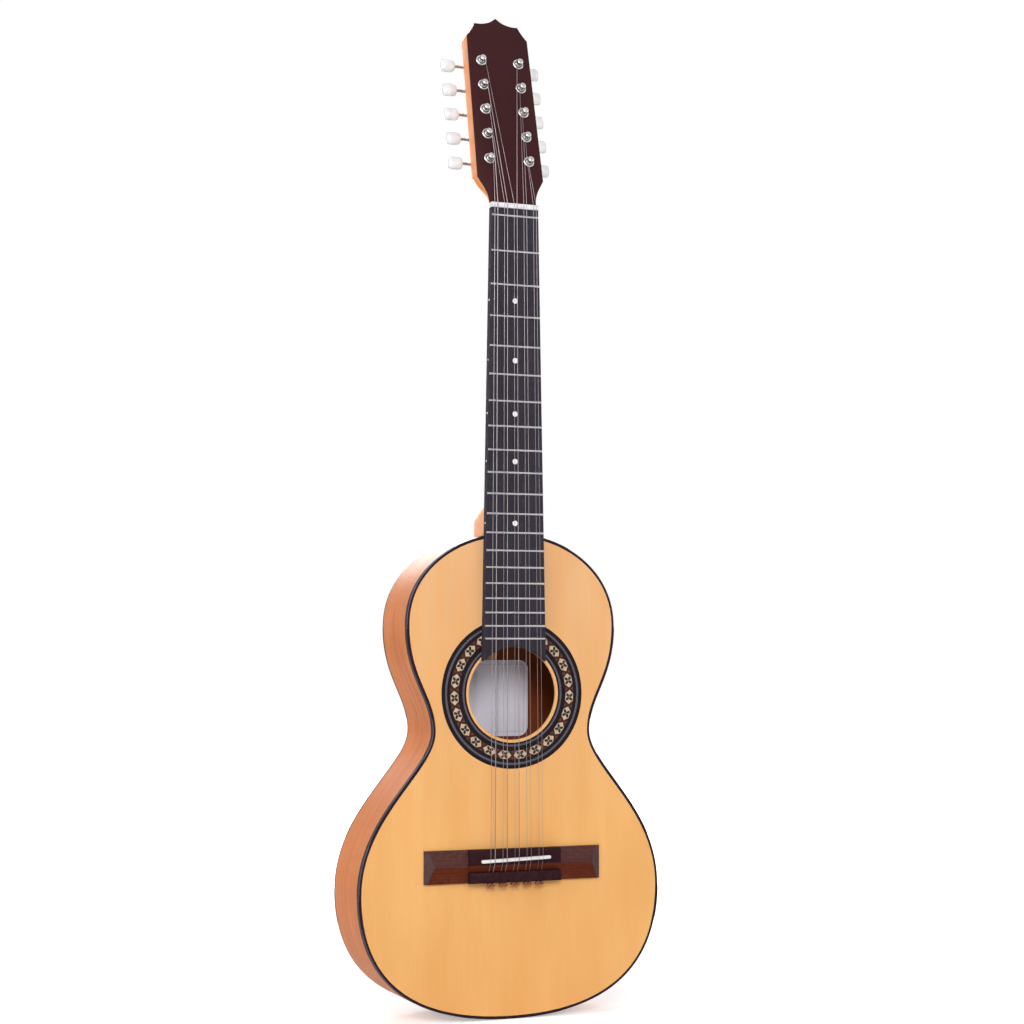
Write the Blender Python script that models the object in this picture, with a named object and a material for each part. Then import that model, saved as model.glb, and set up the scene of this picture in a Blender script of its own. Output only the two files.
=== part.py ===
"""Viola caipira: a ten-string guitar in five courses, with a flat back, a zero fret and
open worm-gear tuners.

Metres. +Z runs up the neck, the soundboard faces -Y, and +X is the treble side. The origin
lies on the soundboard's plane, in the middle of the neck, under the zero fret.
"""

import bisect
import itertools
import math

import bmesh
import bpy
from mathutils import Matrix, Vector, geometry

MM = 0.001

# Clearances
FIT_GAP = 0.3 * MM            # between glued or seated pieces
GLUE_LINE = 0.1 * MM          # keeps faces of pieces that are joined from lying in one plane
STRING_GAP = 0.2 * MM         # between a string and what it bears on
TURNING_GAP = 0.4 * MM        # round a turning shaft, in its bore
CUT_MARGIN = 3.0 * MM         # how far a cutter runs past what it cuts

# Scale and strings, from the bass side to the treble side
SCALE_LENGTH = 580.0 * MM
FRET_COUNT = 19
BODY_FRET = 12
STRING_DIAMETERS = [d * MM for d in (0.43, 0.9, 0.36, 0.72, 0.3, 0.6, 0.36, 0.36, 0.3, 0.3)]
COURSES = 5
COURSE_SPACING_NUT = 9.5 * MM
COURSE_SPACING_SADDLE = 11.75 * MM
PAIR_SPACING_NUT = 2.8 * MM
PAIR_SPACING_SADDLE = 4.1 * MM
STRING_SIDES_RESOLUTION = 1
BALL_RADIUS = 1.7 * MM
BALL_LENGTH = 3.2 * MM

# Fretboard, frets and nut
BOARD_THICKNESS = 6.3 * MM
BOARD_WIDTH_NUT = 46.1 * MM
BOARD_WIDTH_BODY_FRET = 56.6 * MM
BOARD_ABOVE_ZERO_FRET = 7.0 * MM
FRET_WIDTH = 2.2 * MM
FRET_HEIGHT = 1.1 * MM
FRET_TANG = 0.6 * MM
FRET_END_INSET = 0.3 * MM
NUT_THICKNESS = 4.4 * MM
NUT_SLOT_DEPTH = 0.7 * MM
NUT_DROP = 0.3 * MM           # the slot's floor below the line of the strings

# Body outline, half of it, measured down from the neck joint
UPPER_BOUT_HALF = 101.9 * MM
UPPER_BOUT_DROP = 84.2 * MM
WAIST_HALF = 76.9 * MM
WAIST_DROP = 180.7 * MM
LOWER_BOUT_HALF = 146.5 * MM
LOWER_BOUT_DROP = 325.1 * MM
BODY_LENGTH = 442.0 * MM
SHOULDER_ACROSS = 52.0 * MM   # how far each curve holds its direction at its ends
SHOULDER_DOWN = 52.2 * MM
UPPER_BOUT_RUN = 48.8 * MM
WAIST_RUN_UP = 31.3 * MM
WAIST_RUN_DOWN = 33.8 * MM
LOWER_BOUT_RUN_UP = 71.3 * MM
LOWER_BOUT_RUN_DOWN = 56.6 * MM
TAIL_ACROSS = 119.3 * MM
CURVE_STEPS = 10              # stations along each of the four curves

# Body depth and walls
DEPTH_AT_NECK = 68.3 * MM
DEPTH_AT_TAIL = 77.3 * MM
SOUNDBOARD_THICKNESS = 2.6 * MM
BACK_THICKNESS = 2.8 * MM
RIB_THICKNESS = 2.0 * MM
BINDING_WIDTH = 2.7 * MM
BINDING_DEPTH = 5.5 * MM
LINING_THICKNESS = 5.0 * MM
LINING_FLAT = 7.0 * MM
LINING_SLOPE = 6.0 * MM
NECK_BLOCK_WIDTH = 60.0 * MM
NECK_BLOCK_LENGTH = 33.0 * MM
TAIL_BLOCK_WIDTH = 70.0 * MM
TAIL_BLOCK_LENGTH = 16.0 * MM

# Sound hole and rosette
HOLE_DROP = 146.3 * MM        # the hole's centre below the neck joint
HOLE_RADIUS = 42.4 * MM
ROSETTE_INNER = 45.0 * MM
ROSETTE_OUTER = 68.8 * MM
ROSETTE_THICKNESS = 1.0 * MM
HOLE_SIDES = 36
LABEL_WIDTH = 85.0 * MM
LABEL_HEIGHT = 72.0 * MM
LABEL_THICKNESS = 0.4 * MM
LABEL_BELOW_HOLE = 6.0 * MM
LABEL_STEP_OUTER = 4.0 * MM    # where the label starts and ends its step over the back strip
LABEL_STEP_INNER = 1.0 * MM

# Braces
BRACE_WIDTH = 6.0 * MM
BRACE_HEIGHT = 11.0 * MM
BRACE_END_HEIGHT = 3.0 * MM
BRACE_SCALLOP = 22.0 * MM
FAN_BRACE_WIDTH = 5.0 * MM
FAN_BRACE_HEIGHT = 6.5 * MM
FAN_BRACES = 5
FAN_SPREAD_TOP = 15.0 * MM
FAN_SPREAD_BOTTOM = 38.0 * MM
UPPER_BAR_DROP = 92.0 * MM
LOWER_BAR_DROP = 203.0 * MM
FAN_END_ABOVE_TAIL = 40.0 * MM
BAR_END_GAP = 2.0 * MM        # from a cross bar's end to the linings
HOLE_BRACE_OFFSET = 52.0 * MM
BRIDGE_PLATE_THICKNESS = 2.5 * MM
BRIDGE_PLATE_MARGIN = 6.0 * MM
BACK_BAR_BELOW_NECK = 58.0 * MM
BACK_BAR_BELOW_WAIST = 31.3 * MM
BACK_BAR_ABOVE_TAIL = 114.0 * MM
BACK_STRIP_WIDTH = 18.0 * MM
BACK_STRIP_THICKNESS = 1.6 * MM
BACK_STRIP_END_GAP = 1.0 * MM

# Bridge and saddle
BRIDGE_LENGTH = 171.4 * MM
BRIDGE_WIDTH = 30.2 * MM
BRIDGE_BLOCK_LENGTH = 89.0 * MM
BRIDGE_AHEAD_OF_SADDLE = 9.6 * MM
BRIDGE_WING_EDGE = 2.8 * MM
BRIDGE_WING_RIDGE = 5.0 * MM
BRIDGE_WING_END = 1.4 * MM
BRIDGE_WING_BEVEL = 9.0 * MM
BRIDGE_LAND_HEIGHT = 8.4 * MM
BRIDGE_CHANNEL_HEIGHT = 4.6 * MM
TIE_BLOCK_HEIGHT = 9.2 * MM
TIE_BLOCK_WIDTH = 9.4 * MM
TIE_HOLE_RADIUS = 0.85 * MM
TIE_HOLE_HEIGHT = 6.7 * MM
SADDLE_COMPENSATION = 6.7 * MM
SADDLE_SLANT = 2.2 * MM
SADDLE_LENGTH = 67.0 * MM
SADDLE_THICKNESS = 3.0 * MM
SADDLE_HEIGHT = 11.5 * MM
SADDLE_SLOT_DEPTH = 4.0 * MM

# Neck shaft and heel
NECK_DEPTH_NUT = 14.0 * MM
NECK_DEPTH_HEEL = 17.0 * MM
NECK_INSET = 0.4 * MM         # the shaft's edge inside the fretboard's
NECK_SQUARENESS = 1.8
HEEL_HEIGHT = 23.0 * MM       # from the body's edge to the shelf under the shaft
HEEL_ROUND = 12.0 * MM        # how far down the shelf's corner is rounded
HEEL_THROAT = 4.0 * MM
HEEL_DEPTH = 75.0 * MM
HEEL_SQUARENESS = 1.75
HEEL_CAP_CLEARANCE = 2.5 * MM  # the heel's cap in front of the back's face
NECK_SECTION_POINTS = 11
SHAFT_END = 4.0 * MM          # above the zero fret, where the headstock's bend starts

# Headstock
HEAD_LEAN = math.radians(14.0)
HEAD_THICKNESS = 14.2 * MM
VENEER_THICKNESS = 1.5 * MM
HEAD_FLARE_LENGTH = 25.5 * MM
HEAD_FLARE_HALF = 32.3 * MM
HEAD_TOP_HALF = 30.1 * MM
HEAD_SIDE_END = 169.5 * MM
HEAD_SHOULDER_HALF = 21.5 * MM
HEAD_SHOULDER = 182.8 * MM
HEAD_SCOOP_HALF = 8.7 * MM
HEAD_SCOOP = 184.3 * MM
HEAD_PEAK = 189.8 * MM
HEAD_BLEND_SQUARENESS = 12.0

# Tuners: a strip of five on each side
SIDES = {"bass": -1, "treble": 1}
TUNERS_PER_SIDE = 5
POST_HALF_SPAN = 19.5 * MM    # at the post nearest the nut
ROW_TAPER = math.radians(0.6)  # each row leans in towards the top
FIRST_POST = 43.6 * MM
POST_SPACING = 25.05 * MM
POST_RADIUS = 3.0 * MM
POST_WAIST_RADIUS = 2.2 * MM
POST_HEAD_RADIUS = 2.9 * MM
POST_PROUD = 7.4 * MM         # the post's top above the headstock's face
POST_WAIST = (2.1 * MM, 5.5 * MM)  # the waist's ends above the headstock's face
POST_COLLAR_RADIUS = 3.6 * MM
POST_SIDES = 8
FERRULE_RADIUS = 5.3 * MM
FERRULE_HEIGHT = 1.6 * MM
FERRULE_SEAT = 0.4 * MM
FERRULE_SIDES = 10
GEAR_TEETH = 14
GEAR_PITCH_RADIUS = 4.3 * MM
GEAR_TIP_RADIUS = 4.6 * MM
GEAR_ROOT_RADIUS = 3.7 * MM
GEAR_THICKNESS = 4.0 * MM
GEAR_TIP_SHARE = 0.15         # a tooth's share of the pitch, at its tip
GEAR_SCREW_RADIUS = 2.2 * MM
GEAR_SCREW_HEIGHT = 1.1 * MM
WORM_PITCH_RADIUS = 1.9 * MM
WORM_MEAN_RADIUS = 1.78 * MM
WORM_THREAD = 0.42 * MM       # half the thread's depth
WORM_LENGTH = 7.2 * MM
WORM_SIDES = 6
WORM_STEPS_PER_TURN = 5
KEY_SHAFT_RADIUS = 1.45 * MM
KEY_AXIS_ABOVE_PLATE = 8.6 * MM
KEY_REACH = 30.8 * MM         # the button's outer end from the post's axis
PLATE_THICKNESS = 1.2 * MM
PLATE_INNER = 7.6 * MM
PLATE_OUTER = 8.3 * MM
PLATE_END = 9.0 * MM
LUG_THICKNESS = 1.2 * MM
LUG_INNER = 4.6 * MM
LUG_HALF_WIDTH = 3.4 * MM
LUG_ABOVE_AXIS = 3.0 * MM
LUG_BORE_SIDES = 6
BUTTON_LENGTH = 13.7 * MM
BUTTON_HALF_WIDTH = 6.3 * MM
BUTTON_HALF_DEPTH = 4.0 * MM
BUTTON_NECK_RADIUS = 3.0 * MM
BUTTON_SOCKET = 8.0 * MM
BUTTON_SIDES = 10
WRAP_TURNS = 1.25
WRAP_STEPS_PER_TURN = 8
WRAP_GAP = 0.5 * MM           # between a string's turns

# Places that follow from the dimensions above
BODY_TOP = SCALE_LENGTH * (2 ** (-BODY_FRET / 12) - 1)
BODY_BOTTOM = BODY_TOP - BODY_LENGTH
HOLE_CENTRE = BODY_TOP - HOLE_DROP
BOARD_TOP = -FIT_GAP - BOARD_THICKNESS
FRET_TOP = BOARD_TOP - FRET_HEIGHT
NUT_FRONT = BOARD_ABOVE_ZERO_FRET + FIT_GAP
HEAD_START = NUT_FRONT + NUT_THICKNESS + FIT_GAP
SADDLE_CENTRE = -SCALE_LENGTH - SADDLE_COMPENSATION
BRIDGE_FRONT = SADDLE_CENTRE + BRIDGE_AHEAD_OF_SADDLE
BRIDGE_REAR = BRIDGE_FRONT - BRIDGE_WIDTH
FACE_DEPTH = -FIT_GAP - VENEER_THICKNESS
PLATE_BACK = HEAD_THICKNESS + FIT_GAP + PLATE_THICKNESS
KEY_DEPTH = PLATE_BACK + KEY_AXIS_ABOVE_PLATE
KEY_OFFSET = GEAR_PITCH_RADIUS + WORM_PITCH_RADIUS
THREAD_PITCH = 2 * math.pi * GEAR_PITCH_RADIUS / GEAR_TEETH
SADDLE_TOP = -SADDLE_HEIGHT


def make_material(name, colour, roughness, metallic=0.0):
    material = bpy.data.materials.new(name)
    material.use_nodes = True
    shader = material.node_tree.nodes["Principled BSDF"]
    shader.inputs["Base Color"].default_value = (*colour, 1.0)
    shader.inputs["Roughness"].default_value = roughness
    shader.inputs["Metallic"].default_value = metallic
    material.diffuse_color = (*colour, 1.0)
    return material


def clear_scene():
    for obj in list(bpy.data.objects):
        bpy.data.objects.remove(obj, do_unlink=True)


def place(mesh, name, material=None, parent=None, location=(0, 0, 0)):
    """One named object from a mesh, standing in its parent's frame."""
    obj = bpy.data.objects.new(name, mesh)
    bpy.context.scene.collection.objects.link(obj)
    obj.parent = parent
    obj.location = location
    if material and not mesh.materials:
        mesh.materials.append(material)
    return obj


def closed_mesh(name, bm, sharp_angle=35.0):
    """A mesh whose faces point outwards and are flat, which keeps the Booleans exact."""
    bmesh.ops.recalc_face_normals(bm, faces=bm.faces)
    bmesh.ops.connect_verts_nonplanar(bm, angle_limit=math.radians(0.05), faces=bm.faces)
    mesh = bpy.data.meshes.new(name)
    bm.to_mesh(mesh)
    bm.free()
    mesh.shade_smooth()
    mesh.set_sharp_from_angle(angle=math.radians(sharp_angle))
    return mesh


def add_ring(bm, points):
    return [bm.verts.new(point) for point in points]


def bridge(bm, ring, following):
    count = len(ring)
    for i in range(count):
        j = (i + 1) % count
        bm.faces.new((ring[i], ring[j], following[j], following[i]))


def loft(name, rings, closed_path=False):
    """A solid skinned over rings of equal length, capped at both ends or joined end to end."""
    bm = bmesh.new()
    loops = [add_ring(bm, ring) for ring in rings]
    for ring, following in zip(loops, loops[1:]):
        bridge(bm, ring, following)
    if closed_path:
        bridge(bm, loops[-1], loops[0])
    else:
        bm.faces.new(loops[0])
        bm.faces.new(loops[-1])
    return closed_mesh(name, bm)


def at_height(depth, z):
    """A depth that is given as a number, or as a function of the height."""
    return depth(z) if callable(depth) else depth


def prism(name, outline, near, far):
    """An outline in X and Z, pushed through from one depth to the other along Y."""
    rings = [[(x, at_height(face, z), z) for x, z in outline] for face in (near, far)]
    return loft(name, rings)


def box(name, low, high):
    outline = [(low[0], low[2]), (high[0], low[2]), (high[0], high[2]), (low[0], high[2])]
    return prism(name, outline, low[1], high[1])


def circle(radius, sides, x=0.0, z=0.0, turn=0.0):
    steps = [turn + 2 * math.pi * i / sides for i in range(sides)]
    return [(x + radius * math.cos(a), z + radius * math.sin(a)) for a in steps]


def cutter(mesh, parent=None):
    """A helper shape for a Boolean, left out of the render."""
    obj = place(mesh, mesh.name, parent=parent)
    obj.hide_render = True
    obj.display_type = "WIRE"
    return obj


def combine(obj, mesh, operation, parent=None):
    """Cuts the mesh from the object, or joins it on, with an exact Boolean."""
    modifier = obj.modifiers.new(mesh.name, "BOOLEAN")
    modifier.operation = operation
    modifier.solver = "EXACT"
    modifier.object = cutter(mesh, parent)
    return obj


def cut(obj, mesh, parent=None):
    return combine(obj, mesh, "DIFFERENCE", parent)


def join(obj, mesh, parent=None):
    return combine(obj, mesh, "UNION", parent)


def several(name, meshes):
    """Meshes put into one, for a single Boolean. None of them may overlap."""
    bm = bmesh.new()
    for mesh in meshes:
        bm.from_mesh(mesh)
    return closed_mesh(name, bm)


def settled(obj, name):
    """The object's mesh with its modifiers applied. The object and its cutters are removed."""
    bpy.context.view_layer.update()
    graph = bpy.context.evaluated_depsgraph_get()
    mesh = bpy.data.meshes.new_from_object(obj.evaluated_get(graph))
    mesh.name = name
    for modifier in obj.modifiers:
        bpy.data.objects.remove(modifier.object, do_unlink=True)
    bpy.data.objects.remove(obj, do_unlink=True)
    return mesh


# The body's outline

def bezier(start, start_handle, end_handle, end, steps):
    """Points along a cubic curve, each with its direction, without the last point."""
    found = []
    for i in range(steps):
        t = i / steps
        s = 1 - t
        weights = (s ** 3, 3 * s * s * t, 3 * s * t * t, t ** 3)
        slopes = (-3 * s * s, 3 * s * s - 6 * s * t, 6 * s * t - 3 * t * t, 3 * t * t)
        corners = (start, start_handle, end_handle, end)
        point = Vector((0, 0))
        direction = Vector((0, 0))
        for corner, weight, slope in zip(corners, weights, slopes):
            point += Vector(corner) * weight
            direction += Vector(corner) * slope
        found.append((point, direction.normalized()))
    return found


def body_stations():
    """The right half of the outline from the neck joint to the tail: (point, outward)."""
    top = Vector((0, BODY_TOP))
    upper = Vector((UPPER_BOUT_HALF, BODY_TOP - UPPER_BOUT_DROP))
    waist = Vector((WAIST_HALF, BODY_TOP - WAIST_DROP))
    lower = Vector((LOWER_BOUT_HALF, BODY_TOP - LOWER_BOUT_DROP))
    tail = Vector((0, BODY_BOTTOM))
    across = Vector((1, 0))
    down = Vector((0, -1))
    curves = (
        (top, top + across * SHOULDER_ACROSS, upper - down * SHOULDER_DOWN, upper),
        (upper, upper + down * UPPER_BOUT_RUN, waist - down * WAIST_RUN_UP, waist),
        (waist, waist + down * WAIST_RUN_DOWN, lower - down * LOWER_BOUT_RUN_UP, lower),
        (lower, lower + down * LOWER_BOUT_RUN_DOWN, tail + across * TAIL_ACROSS, tail),
    )
    stations = []
    for curve in curves:
        stations += bezier(*curve, CURVE_STEPS)
    stations.append((tail, -across))
    return [(point, Vector((-way.y, way.x))) for point, way in stations]


STATIONS = body_stations()


def half_outline(inset):
    return [point - outward * inset for point, outward in STATIONS]


def full_outline(inset):
    half = half_outline(inset)
    mirrored = [Vector((-p.x, p.y)) for p in reversed(half[1:-1])]
    return half + mirrored


def half_width_at(z, inset):
    """The outline's half width at a height, by interpolation between its stations."""
    half = half_outline(inset)
    heights = [-p.y for p in half]
    i = min(max(bisect.bisect(heights, -z), 1), len(half) - 1)
    above = half[i - 1]
    below = half[i]
    share = (above.y - z) / (above.y - below.y)
    return above.x + (below.x - above.x) * share


def edge_height_at(x, inset, at_tail):
    """The outline's height at a distance from the centre line, at the neck or the tail."""
    half = half_outline(inset)
    if at_tail:
        half = half[::-1]
    for first, second in zip(half, half[1:]):
        if first.x <= x <= second.x:
            return first.y + (second.y - first.y) * (x - first.x) / (second.x - first.x)
    return half[-1].y


def depth_at(z):
    """The depth of the back's outer face at a height."""
    share = (BODY_TOP - z) / BODY_LENGTH
    return DEPTH_AT_NECK + (DEPTH_AT_TAIL - DEPTH_AT_NECK) * share


def inside_back(extra=0.0):
    """A function that gives the depth of what seats on the back's inner face."""
    return lambda z: depth_at(z) - BACK_THICKNESS - FIT_GAP - extra


BRACE_SEAT = SOUNDBOARD_THICKNESS + FIT_GAP


# Body shell

def make_soundboard(material):
    outline = full_outline(BINDING_WIDTH + FIT_GAP)
    board = place(prism("soundboard", outline, 0.0, SOUNDBOARD_THICKNESS), "soundboard", material)
    hole = prism(
        "sound_hole_cutter",
        circle(HOLE_RADIUS, HOLE_SIDES, z=HOLE_CENTRE),
        -SOUNDBOARD_THICKNESS,
        2 * SOUNDBOARD_THICKNESS,
    )
    cut(board, hole)
    groove = annulus(
        "rosette_groove_cutter",
        ROSETTE_INNER,
        ROSETTE_OUTER,
        -SOUNDBOARD_THICKNESS,
        ROSETTE_THICKNESS + FIT_GAP,
    )
    cut(board, groove)
    return board


def annulus(name, inner, outer, near, far):
    """A flat ring round the sound hole's axis."""
    def ring(radius, depth):
        return [(x, depth, z) for x, z in circle(radius, HOLE_SIDES, z=HOLE_CENTRE)]

    return loft(
        name,
        [ring(inner, near), ring(outer, near), ring(outer, far), ring(inner, far)],
        closed_path=True,
    )


def make_rosette(material):
    mesh = annulus(
        "rosette",
        ROSETTE_INNER + FIT_GAP,
        ROSETTE_OUTER - FIT_GAP,
        0.0,
        ROSETTE_THICKNESS,
    )
    return place(mesh, "rosette", material)


def make_binding(material):
    def ring(inset, depth):
        return [(p.x, depth, p.y) for p in full_outline(inset)]

    rings = [
        ring(0.0, 0.0),
        ring(0.0, BINDING_DEPTH),
        ring(BINDING_WIDTH, BINDING_DEPTH),
        ring(BINDING_WIDTH, 0.0),
    ]
    return place(loft("top_binding", rings, closed_path=True), "top_binding", material)


def make_back(material):
    mesh = prism("back_panel", full_outline(0.0), lambda z: depth_at(z) - BACK_THICKNESS, depth_at)
    return place(mesh, "back_panel", material)


def rib_section(stage):
    """Corners of the rib's wall and its linings, as pairs of inset and depth.

    A bare wall is stage 0, linings that stop short of the soundboard are 1, whole ones are 2.
    """
    top = BINDING_DEPTH + FIT_GAP
    front = BRACE_SEAT if stage == 2 else top
    step = BINDING_WIDTH + FIT_GAP
    inner = RIB_THICKNESS
    inset = inner + LINING_THICKNESS if stage else inner
    section = [
        (0.0, top),
        (0.0, inside_back()),
        (inset, inside_back()),
        (inset, inside_back(LINING_FLAT)),
        (inner, inside_back(LINING_FLAT + LINING_SLOPE)),
        (inner, BRACE_SEAT + LINING_FLAT + LINING_SLOPE),
        (inset, BRACE_SEAT + LINING_FLAT),
        (inset, front),
    ]
    if stage == 0:
        return section + [(inner * 2 / 3, top), (inner / 3, top)]
    middle = step if stage == 2 else (inset + step) / 2
    return section + [(middle, front), (step, top)]


def make_rib(name, side, material):
    """Half of the sides: the bent rib, with linings between the neck block and the tail block."""
    last = len(STATIONS) - 1
    clear_of_neck = NECK_BLOCK_WIDTH / 2 + FIT_GAP
    clear_of_tail = TAIL_BLOCK_WIDTH / 2 + FIT_GAP
    at_neck = next(i for i in range(last) if STATIONS[i][0].x > clear_of_neck)
    at_tail = next(i for i in range(last, 0, -1) if STATIONS[i][0].x > clear_of_tail)
    rings = []
    for i, (point, outward) in enumerate(STATIONS):
        ring = []
        stage = max(0, min(i - at_neck, at_tail - i, 2))
        for inset, depth in rib_section(stage):
            corner = point - outward * inset
            across = max(corner.x, FIT_GAP / 2)
            ring.append((side * across, at_height(depth, corner.y), corner.y))
        rings.append(ring)
    return place(loft(name, rings), name, material)


def block_outline(half_width, length, at_tail, inset):
    """A block that follows the inside of the ribs on one side and is straight on the others."""
    half = half_outline(inset)
    straight = BODY_TOP - RIB_THICKNESS - FIT_GAP - length
    follows = half
    if at_tail:
        straight = BODY_BOTTOM + RIB_THICKNESS + FIT_GAP + length
        follows = half[::-1]
    edge = list(itertools.takewhile(lambda p: p.x < half_width - BINDING_WIDTH, follows))
    edge.append(Vector((half_width, edge_height_at(half_width, inset, at_tail))))
    mirrored = [Vector((-p.x, p.y)) for p in reversed(edge[1:])]
    return mirrored + edge + [Vector((half_width, straight)), Vector((-half_width, straight))]


def make_blocks(material):
    """The neck and tail blocks, stepped back in front to clear the binding."""
    shoulder = BINDING_DEPTH + FIT_GAP
    for name, width, length, at_tail in (
        ("neck_block", NECK_BLOCK_WIDTH, NECK_BLOCK_LENGTH, False),
        ("tail_block", TAIL_BLOCK_WIDTH, TAIL_BLOCK_LENGTH, True),
    ):
        rings = []
        for inset, depth in (
            (BINDING_WIDTH + FIT_GAP, BRACE_SEAT),
            (BINDING_WIDTH + FIT_GAP, shoulder),
            (RIB_THICKNESS + FIT_GAP, shoulder + FIT_GAP),
            (RIB_THICKNESS + FIT_GAP, inside_back()),
        ):
            outline = block_outline(width / 2, length, at_tail, inset)
            rings.append([(x, at_height(depth, z), z) for x, z in outline])
        place(loft(name, rings), name, material)


# Braces

def bar(name, start, end, width, height, seat, rise):
    """A brace along a line on the inside of a plate, ridged, with its ends scalloped thin.

    seat gives the depth of the plate's inner face at a height, and rise is the way inwards.
    """
    start = Vector(start)
    end = Vector(end)
    length = (end - start).length
    way = (end - start).normalized()
    across = Vector((-way.y, way.x)) * width / 2
    scallop = min(BRACE_SCALLOP, length / 3)
    rings = []
    for distance, top in (
        (0.0, BRACE_END_HEIGHT),
        (scallop, height),
        (length - scallop, height),
        (length, BRACE_END_HEIGHT),
    ):
        centre = start + way * distance
        ring = []
        for offset, share in ((-1, 0.0), (-1, 0.7), (0, 1.0), (1, 0.7), (1, 0.0)):
            spot = centre + across * offset
            ring.append((spot.x, seat(spot.y) + rise * top * share, spot.y))
        rings.append(ring)
    return loft(name, rings)


def cross_bar(name, drop, seat, rise):
    """A brace from side to side that stops short of the linings."""
    z = BODY_TOP - drop
    inset = RIB_THICKNESS + LINING_THICKNESS + BAR_END_GAP
    reach = min(half_width_at(z + side * BRACE_WIDTH, inset) for side in (-1, 1))
    return bar(name, (-reach, z), (reach, z), BRACE_WIDTH, BRACE_HEIGHT, seat, rise)


def make_soundboard_braces(material):
    """Two cross bars joined past the hole, the fan below them and the bridge plate."""
    def seat(z):
        return BRACE_SEAT

    reach = BRIDGE_LENGTH / 2 + BRIDGE_PLATE_MARGIN
    plate = box(
        "bridge_plate",
        (-reach, BRACE_SEAT, BRIDGE_REAR - BRIDGE_PLATE_MARGIN),
        (reach, BRACE_SEAT + BRIDGE_PLATE_THICKNESS, BRIDGE_FRONT + BRIDGE_PLATE_MARGIN),
    )
    braces = place(plate, "soundboard_braces", material)
    join(braces, cross_bar("upper_bar", UPPER_BAR_DROP, seat, 1))
    join(braces, cross_bar("lower_bar", LOWER_BAR_DROP, seat, 1))
    upper = BODY_TOP - UPPER_BAR_DROP
    lower = BODY_TOP - LOWER_BAR_DROP
    fan_end = BODY_BOTTOM + FAN_END_ABOVE_TAIL
    for side, name in ((-1, "hole_brace_bass"), (1, "hole_brace_treble")):
        x = side * HOLE_BRACE_OFFSET
        ends = ((x, upper), (x, lower))
        join(braces, bar(name, *ends, FAN_BRACE_WIDTH, FAN_BRACE_HEIGHT, seat, 1))
    for i in range(FAN_BRACES):
        step = i - (FAN_BRACES - 1) / 2
        ends = ((step * FAN_SPREAD_TOP, lower), (step * FAN_SPREAD_BOTTOM, fan_end))
        join(braces, bar(f"fan_brace_{i}", *ends, FAN_BRACE_WIDTH, FAN_BRACE_HEIGHT, seat, 1))


def make_back_braces(material):
    """Three cross bars, and the strip that covers the back's centre seam."""
    half = BACK_STRIP_WIDTH / 2
    past_block = RIB_THICKNESS + FIT_GAP + BACK_STRIP_END_GAP
    top = BODY_TOP - NECK_BLOCK_LENGTH - past_block
    bottom = BODY_BOTTOM + TAIL_BLOCK_LENGTH + past_block
    outline = [(-half, bottom), (half, bottom), (half, top), (-half, top)]
    strip = prism("back_strip", outline, inside_back(BACK_STRIP_THICKNESS), inside_back(GLUE_LINE))
    braces = place(strip, "back_braces", material)
    drops = (BACK_BAR_BELOW_NECK, WAIST_DROP + BACK_BAR_BELOW_WAIST, BODY_LENGTH - BACK_BAR_ABOVE_TAIL)
    for i, drop in enumerate(drops):
        join(braces, cross_bar(f"back_bar_{i}", drop, inside_back(), -1))


def make_label(material):
    """A paper label on the back's inside, which steps over the centre strip."""
    centre = HOLE_CENTRE - LABEL_BELOW_HOLE
    lift = BACK_STRIP_THICKNESS + FIT_GAP
    edge = BACK_STRIP_WIDTH / 2
    half = LABEL_WIDTH / 2
    profile = [(-half, 0.0), (-edge - LABEL_STEP_OUTER, 0.0), (-edge - LABEL_STEP_INNER, lift)]
    profile += [(-x, rise) for x, rise in reversed(profile)]
    rings = []
    for z in (centre - LABEL_HEIGHT / 2, centre + LABEL_HEIGHT / 2):
        under = [(x, inside_back(rise)(z), z) for x, rise in profile]
        over = [(x, inside_back(rise + LABEL_THICKNESS)(z), z) for x, rise in profile]
        rings.append(under + over[::-1])
    place(loft("label", rings), "label", material)


# Neck

def board_half_width(z):
    """Half the fretboard's width at a height, past both of its ends too."""
    share = z / BODY_TOP
    return (BOARD_WIDTH_NUT + (BOARD_WIDTH_BODY_FRET - BOARD_WIDTH_NUT) * share) / 2


def fret_z(number):
    return SCALE_LENGTH * (2 ** (-number / 12) - 1)


def d_section(half_width, depth, squareness, deepest):
    """A neck's cross-section, flat in front: pairs of X and depth."""
    section = []
    for i in range(NECK_SECTION_POINTS):
        angle = math.pi * i / (NECK_SECTION_POINTS - 1)
        across = abs(math.cos(angle)) ** (2 / squareness)
        down = math.sin(angle) ** (2 / squareness) if 0 < i < NECK_SECTION_POINTS - 1 else 0.0
        x = math.copysign(half_width * across, math.cos(angle))
        section.append((x, min(depth * down, deepest)))
    return section


def head_flare():
    """The headstock's right edge from the nut to its widest place."""
    nut = board_half_width(HEAD_START)
    start = Vector((nut, 0))
    end = Vector((HEAD_FLARE_HALF, HEAD_FLARE_LENGTH))
    up = Vector((0, HEAD_FLARE_LENGTH * 0.47))
    outwards = Vector((4 * MM, 8 * MM))
    return [p for p, _ in bezier(start, start + up, end - outwards, end, 6)] + [end]


def head_half_width(s):
    flare = head_flare()
    for first, second in zip(flare, flare[1:]):
        if first.y <= s <= second.y:
            return first.x + (second.x - first.x) * (s - first.y) / (second.y - first.y)
    share = (s - HEAD_FLARE_LENGTH) / (HEAD_SIDE_END - HEAD_FLARE_LENGTH)
    return HEAD_FLARE_HALF + (HEAD_TOP_HALF - HEAD_FLARE_HALF) * share


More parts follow.
